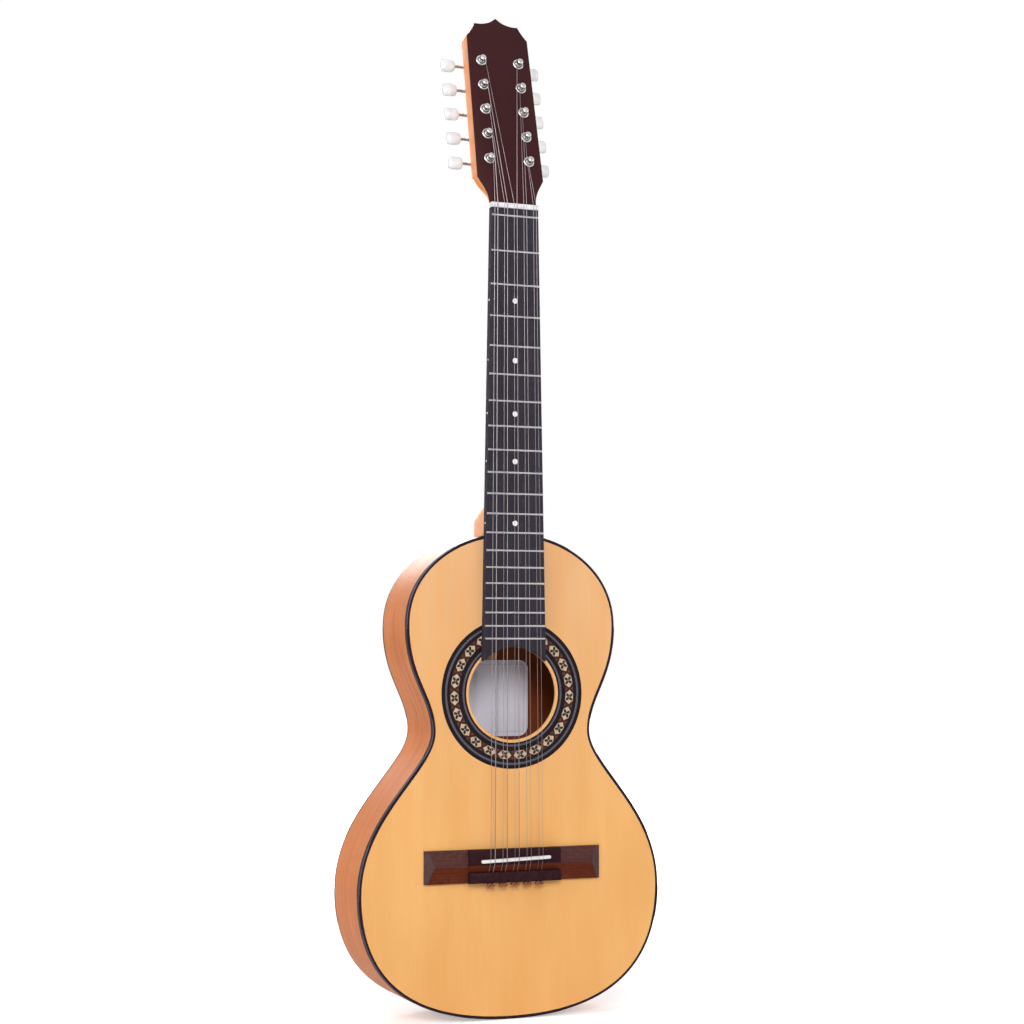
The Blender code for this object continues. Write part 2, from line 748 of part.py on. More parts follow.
def head_crown():
    """The right half of the headstock's top: a hollow corner, a scoop and a middle peak."""
    side = Vector((HEAD_TOP_HALF, HEAD_SIDE_END))
    shoulder = Vector((HEAD_SHOULDER_HALF, HEAD_SHOULDER))
    scoop = Vector((HEAD_SCOOP_HALF, HEAD_SCOOP))
    peak = Vector((0, HEAD_PEAK))
    hollow = Vector((-0.7 * MM, -0.4 * MM))
    dip = Vector((0, -1.0 * MM))
    points = bezier(side, side.lerp(shoulder, 1 / 3) + hollow, side.lerp(shoulder, 2 / 3) + hollow, shoulder, 4)
    points += bezier(shoulder, shoulder.lerp(scoop, 1 / 3) + dip, shoulder.lerp(scoop, 2 / 3) + dip, scoop, 4)
    points += bezier(scoop, scoop.lerp(peak, 1 / 3) + dip, scoop.lerp(peak, 2 / 3) + dip / 2, peak, 4)
    return [p for p, _ in points] + [peak]


def head_outline(start):
    """The headstock's outline from a distance past the nut: pairs of X and distance."""
    lower = [p for p in head_flare() if p.y > start]
    right = [Vector((head_half_width(start), start))] + lower + head_crown()
    mirrored = [Vector((-p.x, p.y)) for p in reversed(right[:-1])]
    return right + mirrored


def row_lean(side):
    """A row of tuners in the headstock's frame: it starts at the lowest post and runs up."""
    start = Matrix.Translation((side * POST_HALF_SPAN, 0, FIRST_POST))
    return start @ Matrix.Rotation(-side * ROW_TAPER, 4, "Y")


def post_heights():
    """The posts' distances along their row."""
    return [POST_SPACING * i for i in range(TUNERS_PER_SIDE)]


def post_holes(name, near, far):
    """Cylinders at the posts of one row, wide enough for a post to turn in."""
    radius = (POST_RADIUS + TURNING_GAP) / math.cos(math.pi / POST_SIDES)
    meshes = [prism("post_hole", circle(radius, POST_SIDES, z=s), near, far) for s in post_heights()]
    return several(name, meshes)


def heel_share(z):
    """How much of the heel's depth the neck has at a height: a throat, a rounded shelf, the foot."""
    below = BODY_TOP + HEEL_HEIGHT - z
    throat = 0.06 * max(0.0, 1 + min(below, 0.0) / HEEL_THROAT) ** 2
    rounded = 1 - min(max(below, 0.0) / HEEL_ROUND, 1.0)
    return throat + (1 - throat) * math.sqrt(1 - rounded ** 2)


def make_neck(material, head, rows):
    """Shaft, heel and headstock in one: a loft from the heel to the flare, then a flat head."""
    cap = DEPTH_AT_NECK - HEEL_CAP_CLEARANCE
    heel_top = BODY_TOP + HEEL_HEIGHT
    heights = [BODY_TOP - HEEL_CAP_CLEARANCE, heel_top - HEEL_ROUND]
    heights += [heel_top - HEEL_ROUND * share for share in (0.6, 0.32, 0.14, 0.04, 0.0)]
    heights += [heel_top + HEEL_THROAT / 2, heel_top + HEEL_THROAT, heel_top / 2, SHAFT_END]
    rings = []
    for z in heights:
        along = (z - heel_top) / (SHAFT_END - heel_top)
        share = heel_share(z)
        shaft = NECK_DEPTH_HEEL + (NECK_DEPTH_NUT - NECK_DEPTH_HEEL) * max(along, 0.0)
        depth = shaft + (HEEL_DEPTH - shaft) * share
        squareness = NECK_SQUARENESS + (HEEL_SQUARENESS - NECK_SQUARENESS) * share
        section = d_section(board_half_width(z) - NECK_INSET, depth, squareness, cap)
        rings.append([(x, y, z) for x, y in section])
    blend_end = HEAD_FLARE_LENGTH * 1.35
    frame = head.matrix_world
    for share in (0.0, 0.2, 0.4, 0.6, 0.8, 1.0):
        s = blend_end * share
        squareness = NECK_SQUARENESS + (HEAD_BLEND_SQUARENESS - NECK_SQUARENESS) * share ** 2
        sunk = 0.2 * MM * share
        half = head_half_width(s) - sunk
        section = d_section(half, HEAD_THICKNESS - 2 * sunk, squareness, HEAD_THICKNESS)
        rings.append([frame @ Vector((x, y + sunk, s)) for x, y in section])
    neck = place(loft("neck", rings), "neck", material)
    plate_start = HEAD_FLARE_LENGTH * 1.15
    join(neck, prism("head_plate", head_outline(plate_start), 0.0, HEAD_THICKNESS), head)
    for name, row in rows.items():
        cut(neck, post_holes(f"head_holes_{name}", -CUT_MARGIN, HEAD_THICKNESS + CUT_MARGIN), row)
    seat = prism("body_cutter", full_outline(-FIT_GAP), -CUT_MARGIN, DEPTH_AT_TAIL)
    cut(neck, seat)
    return neck


def make_veneer(material, head, rows):
    """The headstock's dark facing, with the posts' ferrules pressed into it."""
    face = prism("headstock_veneer", head_outline(0.0), FACE_DEPTH, -FIT_GAP)
    veneer = place(face, "headstock_veneer", material, head)
    for name, row in rows.items():
        join(veneer, several(f"ferrules_{name}", [ferrule_mesh(s) for s in post_heights()]), row)
        cut(veneer, post_holes(f"veneer_holes_{name}", FACE_DEPTH - FERRULE_HEIGHT - CUT_MARGIN, CUT_MARGIN), row)
    return veneer


def ferrule_mesh(s):
    """A ferrule in its row's frame: a low drum with a chamfered rim, let into the veneer."""
    rings = []
    for radius, rise in (
        (FERRULE_RADIUS, -FERRULE_SEAT),
        (FERRULE_RADIUS, FERRULE_HEIGHT * 0.6),
        (FERRULE_RADIUS * 0.85, FERRULE_HEIGHT),
    ):
        rings.append([(a, FACE_DEPTH - rise, b) for a, b in circle(radius, FERRULE_SIDES, z=s)])
    return loft("ferrule", rings)


def make_fretboard(material):
    """A tapered board that ends in an arc round the sound hole, with its frets seated."""
    arc_radius = ROSETTE_INNER + 2 * FIT_GAP
    end = HOLE_CENTRE + arc_radius
    for _ in range(4):
        half = board_half_width(end)
        end = HOLE_CENTRE + math.sqrt(arc_radius ** 2 - half ** 2)
    spread = math.asin(half / arc_radius)
    arc = []
    for i in range(9):
        angle = spread * (1 - i / 4)
        arc.append((arc_radius * math.sin(angle), HOLE_CENTRE + arc_radius * math.cos(angle)))
    nut_half = board_half_width(BOARD_ABOVE_ZERO_FRET)
    outline = [(-nut_half, BOARD_ABOVE_ZERO_FRET), (nut_half, BOARD_ABOVE_ZERO_FRET)] + arc
    board = place(prism("fretboard", outline, BOARD_TOP, -FIT_GAP), "fretboard", material)
    join(board, several("frets", [fret_mesh(n) for n in range(FRET_COUNT + 1)]))
    return board


def fret_mesh(number):
    """One fret, zero at the nut: a crown on a tang that is let into the board."""
    z = fret_z(number)
    half = board_half_width(z) - FRET_END_INSET
    section = [(-FRET_WIDTH / 4, -FRET_TANG), (-FRET_WIDTH / 2, 0.0), (-FRET_WIDTH / 3, FRET_HEIGHT * 0.7)]
    section.append((0.0, FRET_HEIGHT))
    section += [(-a, b) for a, b in reversed(section[:3])]
    rings = []
    for x in (-half, half):
        rings.append([(x, BOARD_TOP - b, z + a) for a, b in section])
    return loft("fret", rings)


# Strings' places

def string_spread(spacing, pair, index):
    course = index // 2 - (COURSES - 1) / 2
    side = -1 if index % 2 == 0 else 1
    return course * spacing + side * pair / 2


def string_x(index, z):
    """A string's distance from the centre line at a height, on its run to the saddle."""
    at_zero_fret = string_spread(COURSE_SPACING_NUT, PAIR_SPACING_NUT, index)
    at_saddle = string_spread(COURSE_SPACING_SADDLE, PAIR_SPACING_SADDLE, index)
    return at_zero_fret + (at_saddle - at_zero_fret) * z / SADDLE_CENTRE


def make_nut(material):
    floor = FRET_TOP + NUT_DROP
    top = floor - NUT_SLOT_DEPTH
    rear = NUT_FRONT + NUT_THICKNESS
    section = [
        (NUT_FRONT, -FIT_GAP),
        (NUT_FRONT, top),
        (NUT_FRONT + NUT_THICKNESS * 0.6, top),
        (rear, top + NUT_SLOT_DEPTH * 1.3),
        (rear, -FIT_GAP),
    ]
    half = board_half_width(NUT_FRONT)
    rings = [[(x, y, z) for z, y in section] for x in (-half, half)]
    nut = place(loft("nut", rings), "nut", material)
    slots = []
    for i, diameter in enumerate(STRING_DIAMETERS):
        x = string_x(i, NUT_FRONT + NUT_THICKNESS / 2)
        reach = diameter / 2 + STRING_GAP
        low = (x - reach, top - 2 * MM, NUT_FRONT - MM)
        slots.append(box("slot", low, (x + reach, floor, rear + MM)))
    cut(nut, several("nut_slots", slots))
    return nut


# Bridge and saddle

def bridge_y(height):
    """The place of a height above the bridge's foot."""
    return -FIT_GAP - height


def make_bridge(material, saddle_frame):
    """Two wings with a low roof, and the raised block with the saddle's land and tie block."""
    ridge = BRIDGE_WIDTH * 0.42
    tie_front = BRIDGE_WIDTH - TIE_BLOCK_WIDTH
    wing = [
        (0.0, 0.0),
        (0.0, BRIDGE_WING_EDGE),
        (ridge, BRIDGE_WING_RIDGE),
        (ridge + 2.5 * MM, BRIDGE_WING_RIDGE),
        (tie_front - MM, BRIDGE_WING_RIDGE * 0.85),
        (tie_front, BRIDGE_WING_RIDGE * 0.8),
        (BRIDGE_WIDTH, BRIDGE_WING_EDGE),
        (BRIDGE_WIDTH, 0.0),
    ]
    block = [
        (0.0, 0.0),
        (0.0, BRIDGE_LAND_HEIGHT - 0.8 * MM),
        (1.2 * MM, BRIDGE_LAND_HEIGHT),
        (ridge + 1.2 * MM, BRIDGE_LAND_HEIGHT),
        (tie_front - 0.5 * MM, BRIDGE_CHANNEL_HEIGHT),
        (tie_front, TIE_BLOCK_HEIGHT),
        (BRIDGE_WIDTH, TIE_BLOCK_HEIGHT),
        (BRIDGE_WIDTH, 0.0),
    ]
    end = [(a, min(b, BRIDGE_WING_END)) for a, b in wing]
    half = BRIDGE_LENGTH / 2
    step = BRIDGE_BLOCK_LENGTH / 2
    right = [(step, block), (step + 0.6 * MM, wing), (half - BRIDGE_WING_BEVEL, wing), (half, end)]
    stations = [(-x, section) for x, section in reversed(right)] + right
    rings = [[(x, bridge_y(b), BRIDGE_FRONT - a) for a, b in section] for x, section in stations]
    bridge_piece = place(loft("bridge", rings), "bridge", material)
    slot = saddle_rings(SADDLE_LENGTH + 2 * FIT_GAP, SADDLE_THICKNESS + 2 * FIT_GAP, 8 * MM, 0.0)
    cut(bridge_piece, loft("saddle_slot", slot), saddle_frame)
    holes = []
    for i in range(2 * COURSES):
        x = string_x(i, BRIDGE_REAR)
        rings = []
        for z in (BRIDGE_REAR - MM, BRIDGE_FRONT - tie_front + 1.5 * MM):
            around = circle(TIE_HOLE_RADIUS, 6)
            rings.append([(x + a, bridge_y(TIE_HOLE_HEIGHT) + b, z) for a, b in around])
        holes.append(loft("tie_hole", rings))
    cut(bridge_piece, several("tie_holes", holes))
    return bridge_piece


def saddle_rings(length, thickness, above, crown):
    """A bar with rounded ends and, if crown is given, a rounded top, in the saddle's frame."""
    foot = bridge_y(BRIDGE_LAND_HEIGHT - SADDLE_SLOT_DEPTH)
    if crown:
        foot -= FIT_GAP
    top = SADDLE_TOP if crown else SADDLE_TOP - above
    rings = []
    end = thickness * 0.35
    for x, wide in (
        (-length / 2, thickness * 0.5),
        (-length / 2 + end, thickness),
        (length / 2 - end, thickness),
        (length / 2, thickness * 0.5),
    ):
        half = wide / 2
        ring = [(x, foot, half), (x, top + crown, half), (x, top, half * 0.45)]
        rings.append(ring + [(a, b, -c) for a, b, c in reversed(ring)])
    return rings


def make_saddle(material, saddle_frame):
    rings = saddle_rings(SADDLE_LENGTH, SADDLE_THICKNESS, 0.0, 1.0 * MM)
    return place(loft("saddle", rings), "saddle", material, saddle_frame)


# Tuners

def turned(name, profile, sides):
    """A solid turned about Y, from pairs of radius and depth."""
    rings = []
    for radius, depth in profile:
        rings.append([(x, depth, z) for x, z in circle(radius, sides)])
    return loft(name, rings)


def gear_mesh(side):
    """The worm wheel, whose teeth lean the way that the worm's thread runs."""
    pitch_angle = 2 * math.pi / GEAR_TEETH
    thread_slope = THREAD_PITCH / (2 * math.pi * WORM_PITCH_RADIUS)
    lean = GEAR_THICKNESS / 2 * thread_slope / GEAR_PITCH_RADIUS
    rings = []
    for face in (-1, 1):
        ring = []
        for tooth in range(GEAR_TEETH):
            centre = math.pi / 2 + tooth * pitch_angle - side * face * lean
            for radius, share in (
                (GEAR_ROOT_RADIUS, -0.5),
                (GEAR_TIP_RADIUS, -GEAR_TIP_SHARE / 2),
                (GEAR_TIP_RADIUS, GEAR_TIP_SHARE / 2),
            ):
                angle = centre + share * pitch_angle
                depth = KEY_DEPTH + face * GEAR_THICKNESS / 2
                ring.append((radius * math.cos(angle), depth, radius * math.sin(angle)))
        rings.append(ring)
    return loft("gear", rings)


def post_mesh(side, material):
    """A string post: rounded head, waist for the string, journal, collar, gear and screw."""
    waist_low, waist_high = (FACE_DEPTH - rise for rise in POST_WAIST)
    top = FACE_DEPTH - POST_PROUD
    gear_back = KEY_DEPTH + GEAR_THICKNESS / 2
    collar = PLATE_BACK + FIT_GAP
    flare = POST_RADIUS - POST_WAIST_RADIUS
    profile = [
        (POST_HEAD_RADIUS * 0.6, top),
        (POST_HEAD_RADIUS, top + 0.7 * MM),
        (POST_HEAD_RADIUS, waist_high - flare / 2),
        (POST_WAIST_RADIUS, waist_high),
        (POST_WAIST_RADIUS, waist_low),
        (POST_RADIUS, waist_low + flare / 2),
        (POST_RADIUS, collar),
        (POST_COLLAR_RADIUS, collar),
        (POST_COLLAR_RADIUS, KEY_DEPTH),
        (GEAR_SCREW_RADIUS, KEY_DEPTH),
        (GEAR_SCREW_RADIUS, gear_back + GEAR_SCREW_HEIGHT * 0.6),
        (GEAR_SCREW_RADIUS * 0.75, gear_back + GEAR_SCREW_HEIGHT),
    ]
    post = place(turned("post_blank", profile, POST_SIDES), "post", material)
    join(post, gear_mesh(side))
    return settled(post, "tuner_post")


def worm_mesh(side):
    """A key's shaft with its worm: a circle carried round the axis makes the thread."""
    def ring(reach, radius, offset=0.0):
        angle = 2 * math.pi * reach / THREAD_PITCH
        y = -offset * math.sin(angle)
        z = offset * math.cos(angle)
        return [(side * reach, y + a, z + b) for a, b in circle(radius, WORM_SIDES)]

    half = WORM_LENGTH / 2
    inner = LUG_INNER + LUG_THICKNESS + MM
    outer = KEY_REACH - BUTTON_LENGTH + BUTTON_SOCKET - FIT_GAP
    steps = round(WORM_LENGTH / THREAD_PITCH * WORM_STEPS_PER_TURN)
    rings = [ring(-inner, KEY_SHAFT_RADIUS), ring(-half - 0.6 * MM, KEY_SHAFT_RADIUS)]
    for i in range(steps + 1):
        rings.append(ring(-half + WORM_LENGTH * i / steps, WORM_MEAN_RADIUS, WORM_THREAD))
    rings += [ring(half + 0.6 * MM, KEY_SHAFT_RADIUS), ring(outer, KEY_SHAFT_RADIUS)]
    return loft("worm_shaft", rings)


def button_mesh(side):
    """A key's button: oval and crowned, with a blind socket for the shaft."""
    bore = (KEY_SHAFT_RADIUS + FIT_GAP) / math.cos(math.pi / BUTTON_SIDES)
    inner = KEY_REACH - BUTTON_LENGTH
    wide = BUTTON_HALF_WIDTH
    deep = BUTTON_HALF_DEPTH
    stations = [
        (inner + BUTTON_SOCKET, bore, bore),
        (inner, bore, bore),
        (inner, BUTTON_NECK_RADIUS * 0.85, BUTTON_NECK_RADIUS * 0.85),
        (inner + BUTTON_LENGTH * 0.06, BUTTON_NECK_RADIUS, BUTTON_NECK_RADIUS),
        (inner + BUTTON_LENGTH * 0.3, wide * 0.76, deep * 0.9),
        (inner + BUTTON_LENGTH * 0.6, wide * 0.98, deep),
        (inner + BUTTON_LENGTH * 0.85, wide, deep * 0.97),
        (inner + BUTTON_LENGTH * 0.96, wide * 0.84, deep * 0.78),
        (KEY_REACH, wide * 0.55, deep * 0.5),
    ]
    rings = []
    for reach, z_radius, y_radius in stations:
        around = circle(1.0, BUTTON_SIDES)
        rings.append([(side * reach, y_radius * a, z_radius * b) for a, b in around])
    return loft("tuner_button", rings)


def make_plate(name, side, material, row):
    """A strip behind the headstock with two lugs for each key and a hole for each post."""
    key_places = [s + KEY_OFFSET for s in post_heights()]
    near = HEAD_THICKNESS + FIT_GAP
    low = (-side * PLATE_INNER, near, -PLATE_END)
    high = (side * PLATE_OUTER, PLATE_BACK, key_places[-1] + PLATE_END)
    plate = place(box("plate_blank", low, high), name, material, row)
    lugs = []
    bores = []
    for s in key_places:
        section = [
            (near + PLATE_THICKNESS / 2, LUG_HALF_WIDTH),
            (KEY_DEPTH + LUG_ABOVE_AXIS / 2, LUG_HALF_WIDTH),
            (KEY_DEPTH + LUG_ABOVE_AXIS, LUG_HALF_WIDTH / 2),
        ]
        section += [(depth, -half) for depth, half in reversed(section)]
        for inner in (-LUG_INNER - LUG_THICKNESS, LUG_INNER):
            ends = (side * inner, side * (inner + LUG_THICKNESS))
            lugs.append(loft("lug", [[(x, d, s + h) for d, h in section] for x in ends]))
        radius = (KEY_SHAFT_RADIUS + TURNING_GAP) / math.cos(math.pi / LUG_BORE_SIDES)
        reach = LUG_INNER + LUG_THICKNESS + MM
        around = circle(radius, LUG_BORE_SIDES, KEY_DEPTH, s)
        bores.append(loft("bore", [[(x, d, z) for d, z in around] for x in (-reach, reach)]))
    join(plate, several(f"{name}_lugs", lugs), row)
    cut(plate, several(f"{name}_bores", bores), row)
    cut(plate, post_holes(f"{name}_post_holes", near - CUT_MARGIN, PLATE_BACK + CUT_MARGIN), row)
    return plate


def make_tuners(metal, pearl, rows):
    for side_name, row in rows.items():
        side = SIDES[side_name]
        make_plate(f"tuner_plate_{side_name}", side, metal, row)
        post = post_mesh(side, metal)
        worm = worm_mesh(side)
        button = button_mesh(side)
        for number, s in enumerate(post_heights(), 1):
            place(post, f"tuner_post_{side_name}_{number}", metal, row, (0, 0, s))
            at_key = (0, KEY_DEPTH, s + KEY_OFFSET)
            place(worm, f"worm_shaft_{side_name}_{number}", metal, row, at_key)
            place(button, f"tuner_button_{side_name}_{number}", pearl, row, at_key)


# Strings

def saddle_z(x):
    return SADDLE_CENTRE + x * SADDLE_SLANT / SADDLE_LENGTH


def wrap_route(start, side, post_s, thickness):
    """The string's way to its post and round it, in the headstock's frame, from a start."""
    clear = POST_WAIST_RADIUS + STRING_GAP + thickness / 2
    radius = clear / math.cos(math.pi / WRAP_STEPS_PER_TURN)
    advance = thickness + WRAP_GAP
    middle = FACE_DEPTH - sum(POST_WAIST) / 2
    post = row_lean(side) @ Vector((0, 0, post_s))
    centre = Vector((post.x, post.z))
    towards = centre - Vector((start.x, start.z))
    heading = math.atan2(towards.y, towards.x) + side * math.asin(radius / towards.length)
    first = heading + side * math.pi / 2
    steps = round(WRAP_TURNS * WRAP_STEPS_PER_TURN)
    route = []
    for i in range(steps + 1):
        turns = i / WRAP_STEPS_PER_TURN
        angle = first - side * 2 * math.pi * turns
        depth = middle + (turns - WRAP_TURNS / 2) * advance
        x = centre.x + radius * math.cos(angle)
        route.append(Vector((x, depth, centre.y + radius * math.sin(angle))))
    return route


def string_route(index, head):
    """A string's centre line from its ball end, over saddle, zero fret and nut, to its post."""
    thickness = STRING_DIAMETERS[index]
    above = thickness / 2 + STRING_GAP
    hole_exit = BRIDGE_REAR + TIE_BLOCK_WIDTH + MM
    saddle_at = saddle_z(string_x(index, SADDLE_CENTRE))
    stops = [
        (BRIDGE_REAR, bridge_y(TIE_HOLE_HEIGHT)),
        (hole_exit, bridge_y(TIE_HOLE_HEIGHT)),
        (saddle_at - SADDLE_THICKNESS / 4, SADDLE_TOP - above),
        (saddle_at + SADDLE_THICKNESS / 4, SADDLE_TOP - above),
        (0.0, FRET_TOP - above),
        (NUT_FRONT + NUT_THICKNESS, FRET_TOP + NUT_DROP - above),
    ]
    route = [Vector((string_x(index, z), y, z)) for z, y in stops]
    side = -1 if index < COURSES else 1
    number = index if side < 0 else 2 * COURSES - 1 - index
    to_head = head.matrix_world.inverted()
    start = to_head @ route[-1]
    rest = []
    beyond_post = POST_HEAD_RADIUS + STRING_GAP + thickness / 2
    post_s = POST_SPACING * number
    if number == 1:
        share = FIRST_POST / (FIRST_POST + post_s)
        depth = start.y + (wrap_route(start, side, post_s, thickness)[0].y - start.y) * share
        passing = POST_HALF_SPAN - beyond_post - STRING_GAP
        start = Vector((side * passing, depth, FIRST_POST))
        rest.append(start)
    rest += wrap_route(start, side, post_s, thickness)
    return route, [head.matrix_world @ point for point in rest]


def least_gap_to_itself(route, thickness):
    """The least gap between stretches of a route that lie more than half a turn apart."""
    apart = WRAP_STEPS_PER_TURN // 2 + 1
    least = math.inf
    for i, point in enumerate(route):
        for j in range(len(route) - 1):
            if abs(i - j) >= apart and abs(i - j - 1) >= apart:
                nearest, share = geometry.intersect_point_line(point, route[j], route[j + 1])
                share = min(max(share, 0.0), 1.0)
                nearest = route[j].lerp(route[j + 1], share)
                least = min(least, (point - nearest).length)
    return least - thickness


def make_string(index, material, head):
    """A round tube along the string's route that starts with its ball end."""
    name = f"string_{2 * COURSES - index}"
    radius = STRING_DIAMETERS[index] / 2
    route, wrap = string_route(index, head)
    anchor = route[0]
    ball = [
        (-FIT_GAP - BALL_LENGTH, 0.75 * BALL_RADIUS),
        (-FIT_GAP - BALL_LENGTH * 0.8, BALL_RADIUS),
        (-FIT_GAP - BALL_LENGTH * 0.2, BALL_RADIUS),
        (-FIT_GAP, 0.75 * BALL_RADIUS),
        (-FIT_GAP, radius),
    ]
    points = [(anchor + Vector((0, 0, along)), thick) for along, thick in ball]
    points += [(point, radius) for point in route[1:] + wrap]
    curve = bpy.data.curves.new(name, "CURVE")
    curve.dimensions = "3D"
    curve.bevel_depth = radius
    curve.bevel_resolution = STRING_SIDES_RESOLUTION
    curve.use_fill_caps = True
    spline = curve.splines.new("POLY")
    spline.points.add(len(points) - 1)
    for knot, (point, thick) in zip(spline.points, points):
        knot.co = (*point, 1.0)
        knot.radius = thick / radius
    curve.materials.append(material)
    place(curve, name)
    gap = least_gap_to_itself(wrap, 2 * radius)
    print(f"{name}: least gap to itself {gap / MM:.2f} mm")


def frame_object(name, matrix):
    """An empty that carries a tilted frame for the pieces in it."""
    frame = place(None, name)
    frame.matrix_world = matrix
    return frame


def build():
    clear_scene()
    spruce = make_material("spruce", (0.80, 0.44, 0.13), 0.4)
    side_wood = make_material("side_wood", (0.36, 0.12, 0.03), 0.35)
    neck_wood = make_material("neck_wood", (0.55, 0.20, 0.05), 0.4)
    inner_wood = make_material("inner_wood", (0.62, 0.40, 0.20), 0.6)
    dark_wood = make_material("dark_wood", (0.03, 0.015, 0.012), 0.4)
    bridge_wood = make_material("bridge_wood", (0.10, 0.025, 0.015), 0.45)
    binding = make_material("binding", (0.02, 0.01, 0.015), 0.3)
    mosaic = make_material("mosaic", (0.15, 0.08, 0.05), 0.4)
    bone = make_material("bone", (0.80, 0.76, 0.66), 0.4)
    paper = make_material("paper", (0.72, 0.66, 0.52), 0.8)
    pearl = make_material("pearl", (0.85, 0.82, 0.76), 0.25)
    steel = make_material("steel", (0.60, 0.60, 0.60), 0.25, 1.0)
    plating = make_material("plating", (0.70, 0.68, 0.62), 0.25, 1.0)

    lean = Matrix.Translation((0, 0, HEAD_START)) @ Matrix.Rotation(-HEAD_LEAN, 4, "X")
    head = frame_object("headstock_frame", lean)
    rows = {name: frame_object(f"tuner_row_{name}", lean @ row_lean(side)) for name, side in SIDES.items()}
    slant = Matrix.Rotation(-math.asin(SADDLE_SLANT / SADDLE_LENGTH), 4, "Y")
    saddle_frame = frame_object("saddle_frame", Matrix.Translation((0, 0, SADDLE_CENTRE)) @ slant)

    make_soundboard(spruce)
    make_rosette(mosaic)
    make_binding(binding)
    make_back(side_wood)
    for name, side in SIDES.items():
        make_rib(f"rib_{name}", side, side_wood)
    make_blocks(inner_wood)
    make_soundboard_braces(inner_wood)
    make_back_braces(inner_wood)
    make_label(paper)
    make_neck(neck_wood, head, rows)
    make_veneer(dark_wood, head, rows)
    make_fretboard(dark_wood)
    make_nut(bone)
    make_bridge(bridge_wood, saddle_frame)
    make_saddle(bone, saddle_frame)
    make_tuners(plating, pearl, rows)
    for index in range(2 * COURSES):
        make_string(index, steel, head)


build()
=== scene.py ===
# %% [markdown]
# # A viola caipira, piece by piece
# The viola caipira is a small ten-string guitar from Brazil. Its engineering model is already packed:
# every solid of it is loaded here as a fixed frame. This lesson dresses that frame. Each plain solid
# gets a finer piece in its place, or a better finish, and nothing changes its size.

import math

import bmesh
import bpy
from mathutils import Matrix, Vector
from mathutils.geometry import interpolate_bezier
from mathutils.kdtree import KDTree


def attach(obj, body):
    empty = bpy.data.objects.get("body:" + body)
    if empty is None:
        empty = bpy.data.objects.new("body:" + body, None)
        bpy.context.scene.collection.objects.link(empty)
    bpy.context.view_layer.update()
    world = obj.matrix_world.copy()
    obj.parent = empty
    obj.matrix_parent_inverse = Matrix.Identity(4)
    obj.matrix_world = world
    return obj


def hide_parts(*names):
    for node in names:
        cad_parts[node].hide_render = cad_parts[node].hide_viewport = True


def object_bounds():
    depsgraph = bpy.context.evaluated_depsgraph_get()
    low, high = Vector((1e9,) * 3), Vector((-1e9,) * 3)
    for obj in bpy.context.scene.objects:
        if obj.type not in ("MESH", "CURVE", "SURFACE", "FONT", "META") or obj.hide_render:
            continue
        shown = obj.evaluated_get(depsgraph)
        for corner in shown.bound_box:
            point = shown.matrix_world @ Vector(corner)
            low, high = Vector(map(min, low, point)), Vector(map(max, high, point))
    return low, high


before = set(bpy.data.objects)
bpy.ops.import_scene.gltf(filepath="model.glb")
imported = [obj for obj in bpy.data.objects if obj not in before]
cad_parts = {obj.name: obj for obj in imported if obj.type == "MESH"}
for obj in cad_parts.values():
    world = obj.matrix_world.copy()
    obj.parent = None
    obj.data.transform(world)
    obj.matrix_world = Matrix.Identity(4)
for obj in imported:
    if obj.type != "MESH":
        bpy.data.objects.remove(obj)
cad_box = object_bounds()

# %% [markdown]
# ## Working in millimetres
# A maker measures in millimetres, while Blender's unit is the metre. The pieces are drawn in
# millimetres, and one helper turns a drawing into a finished object: it merges doubles, turns the
# faces outwards, scales to metres, sets which edges stay crisp, and hangs the piece on its body.
# Z runs up the neck, the soundboard faces minus Y, and X points to the treble strings.

# %% The helper that finishes a piece
MM = 0.001
ops = bmesh.ops


def linked(name, data):
    """A new object in the scene."""
    obj = bpy.data.objects.new(name, data)
    bpy.context.scene.collection.objects.link(obj)
    return obj


def finished(bm, name, finish, body="viola", replaces=(), crisp=32.0, second=None, where=None):
    """Makes an object from a drawing in millimetres, and lets it ride on its body.

    The faces that pass the test called where get the second finish, if one is given.
    """
    ops.remove_doubles(bm, verts=bm.verts, dist=0.002)
    ops.recalc_face_normals(bm, faces=bm.faces)
    if second:
        for face in bm.faces:
            face.material_index = 1 if where(face) else 0
    ops.scale(bm, vec=(MM, MM, MM), verts=bm.verts)
    mesh = bpy.data.meshes.new(name)
    bm.to_mesh(mesh)
    bm.free()
    mesh.materials.append(finish)
    if second:
        mesh.materials.append(second)
    mesh.shade_smooth()
    mesh.set_sharp_from_angle(angle=math.radians(crisp))
    piece = linked(name, mesh)
    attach(piece, body)
    if replaces:
        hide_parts(*replaces)
    print(name, "has", len(mesh.polygons), "faces")
    return piece

# %% [markdown]
# ## Places and copies
# A piece is drawn where it is easy to draw, then moved to where it sits. A place is a matrix, and
# places multiply from left to right, so a post's place is the headstock's, then the row's, then
# the post's own.

# %% Helpers: places, copies and what operators give back
def at(x=0.0, y=0.0, z=0.0):
    return Matrix.Translation((x, y, z))


def spun(angle, axis):
    return Matrix.Rotation(angle, 4, axis)


def moved(bm, place):
    ops.transform(bm, matrix=place, verts=bm.verts)
    return bm


def set_in(bm, part, place=Matrix()):
    """Copies one drawing into another at a place, and frees the first."""
    scratch = bpy.data.meshes.new("scratch")
    part.to_mesh(scratch)
    part.free()
    scratch.transform(place)
    bm.from_mesh(scratch)
    bpy.data.meshes.remove(scratch)


def points_of(made):
    """The vertices in what a bmesh operator gives back."""
    return [item for item in made["geom"] if isinstance(item, bmesh.types.BMVert)]


def lines_of(made, key="geom"):
    """The edges in what a bmesh operator gives back."""
    return [item for item in made[key] if isinstance(item, bmesh.types.BMEdge)]


def in_front_of(depth):
    """A test for edges that lie in front of a depth."""
    return lambda edge: all(point.co.y < depth for point in edge.verts)


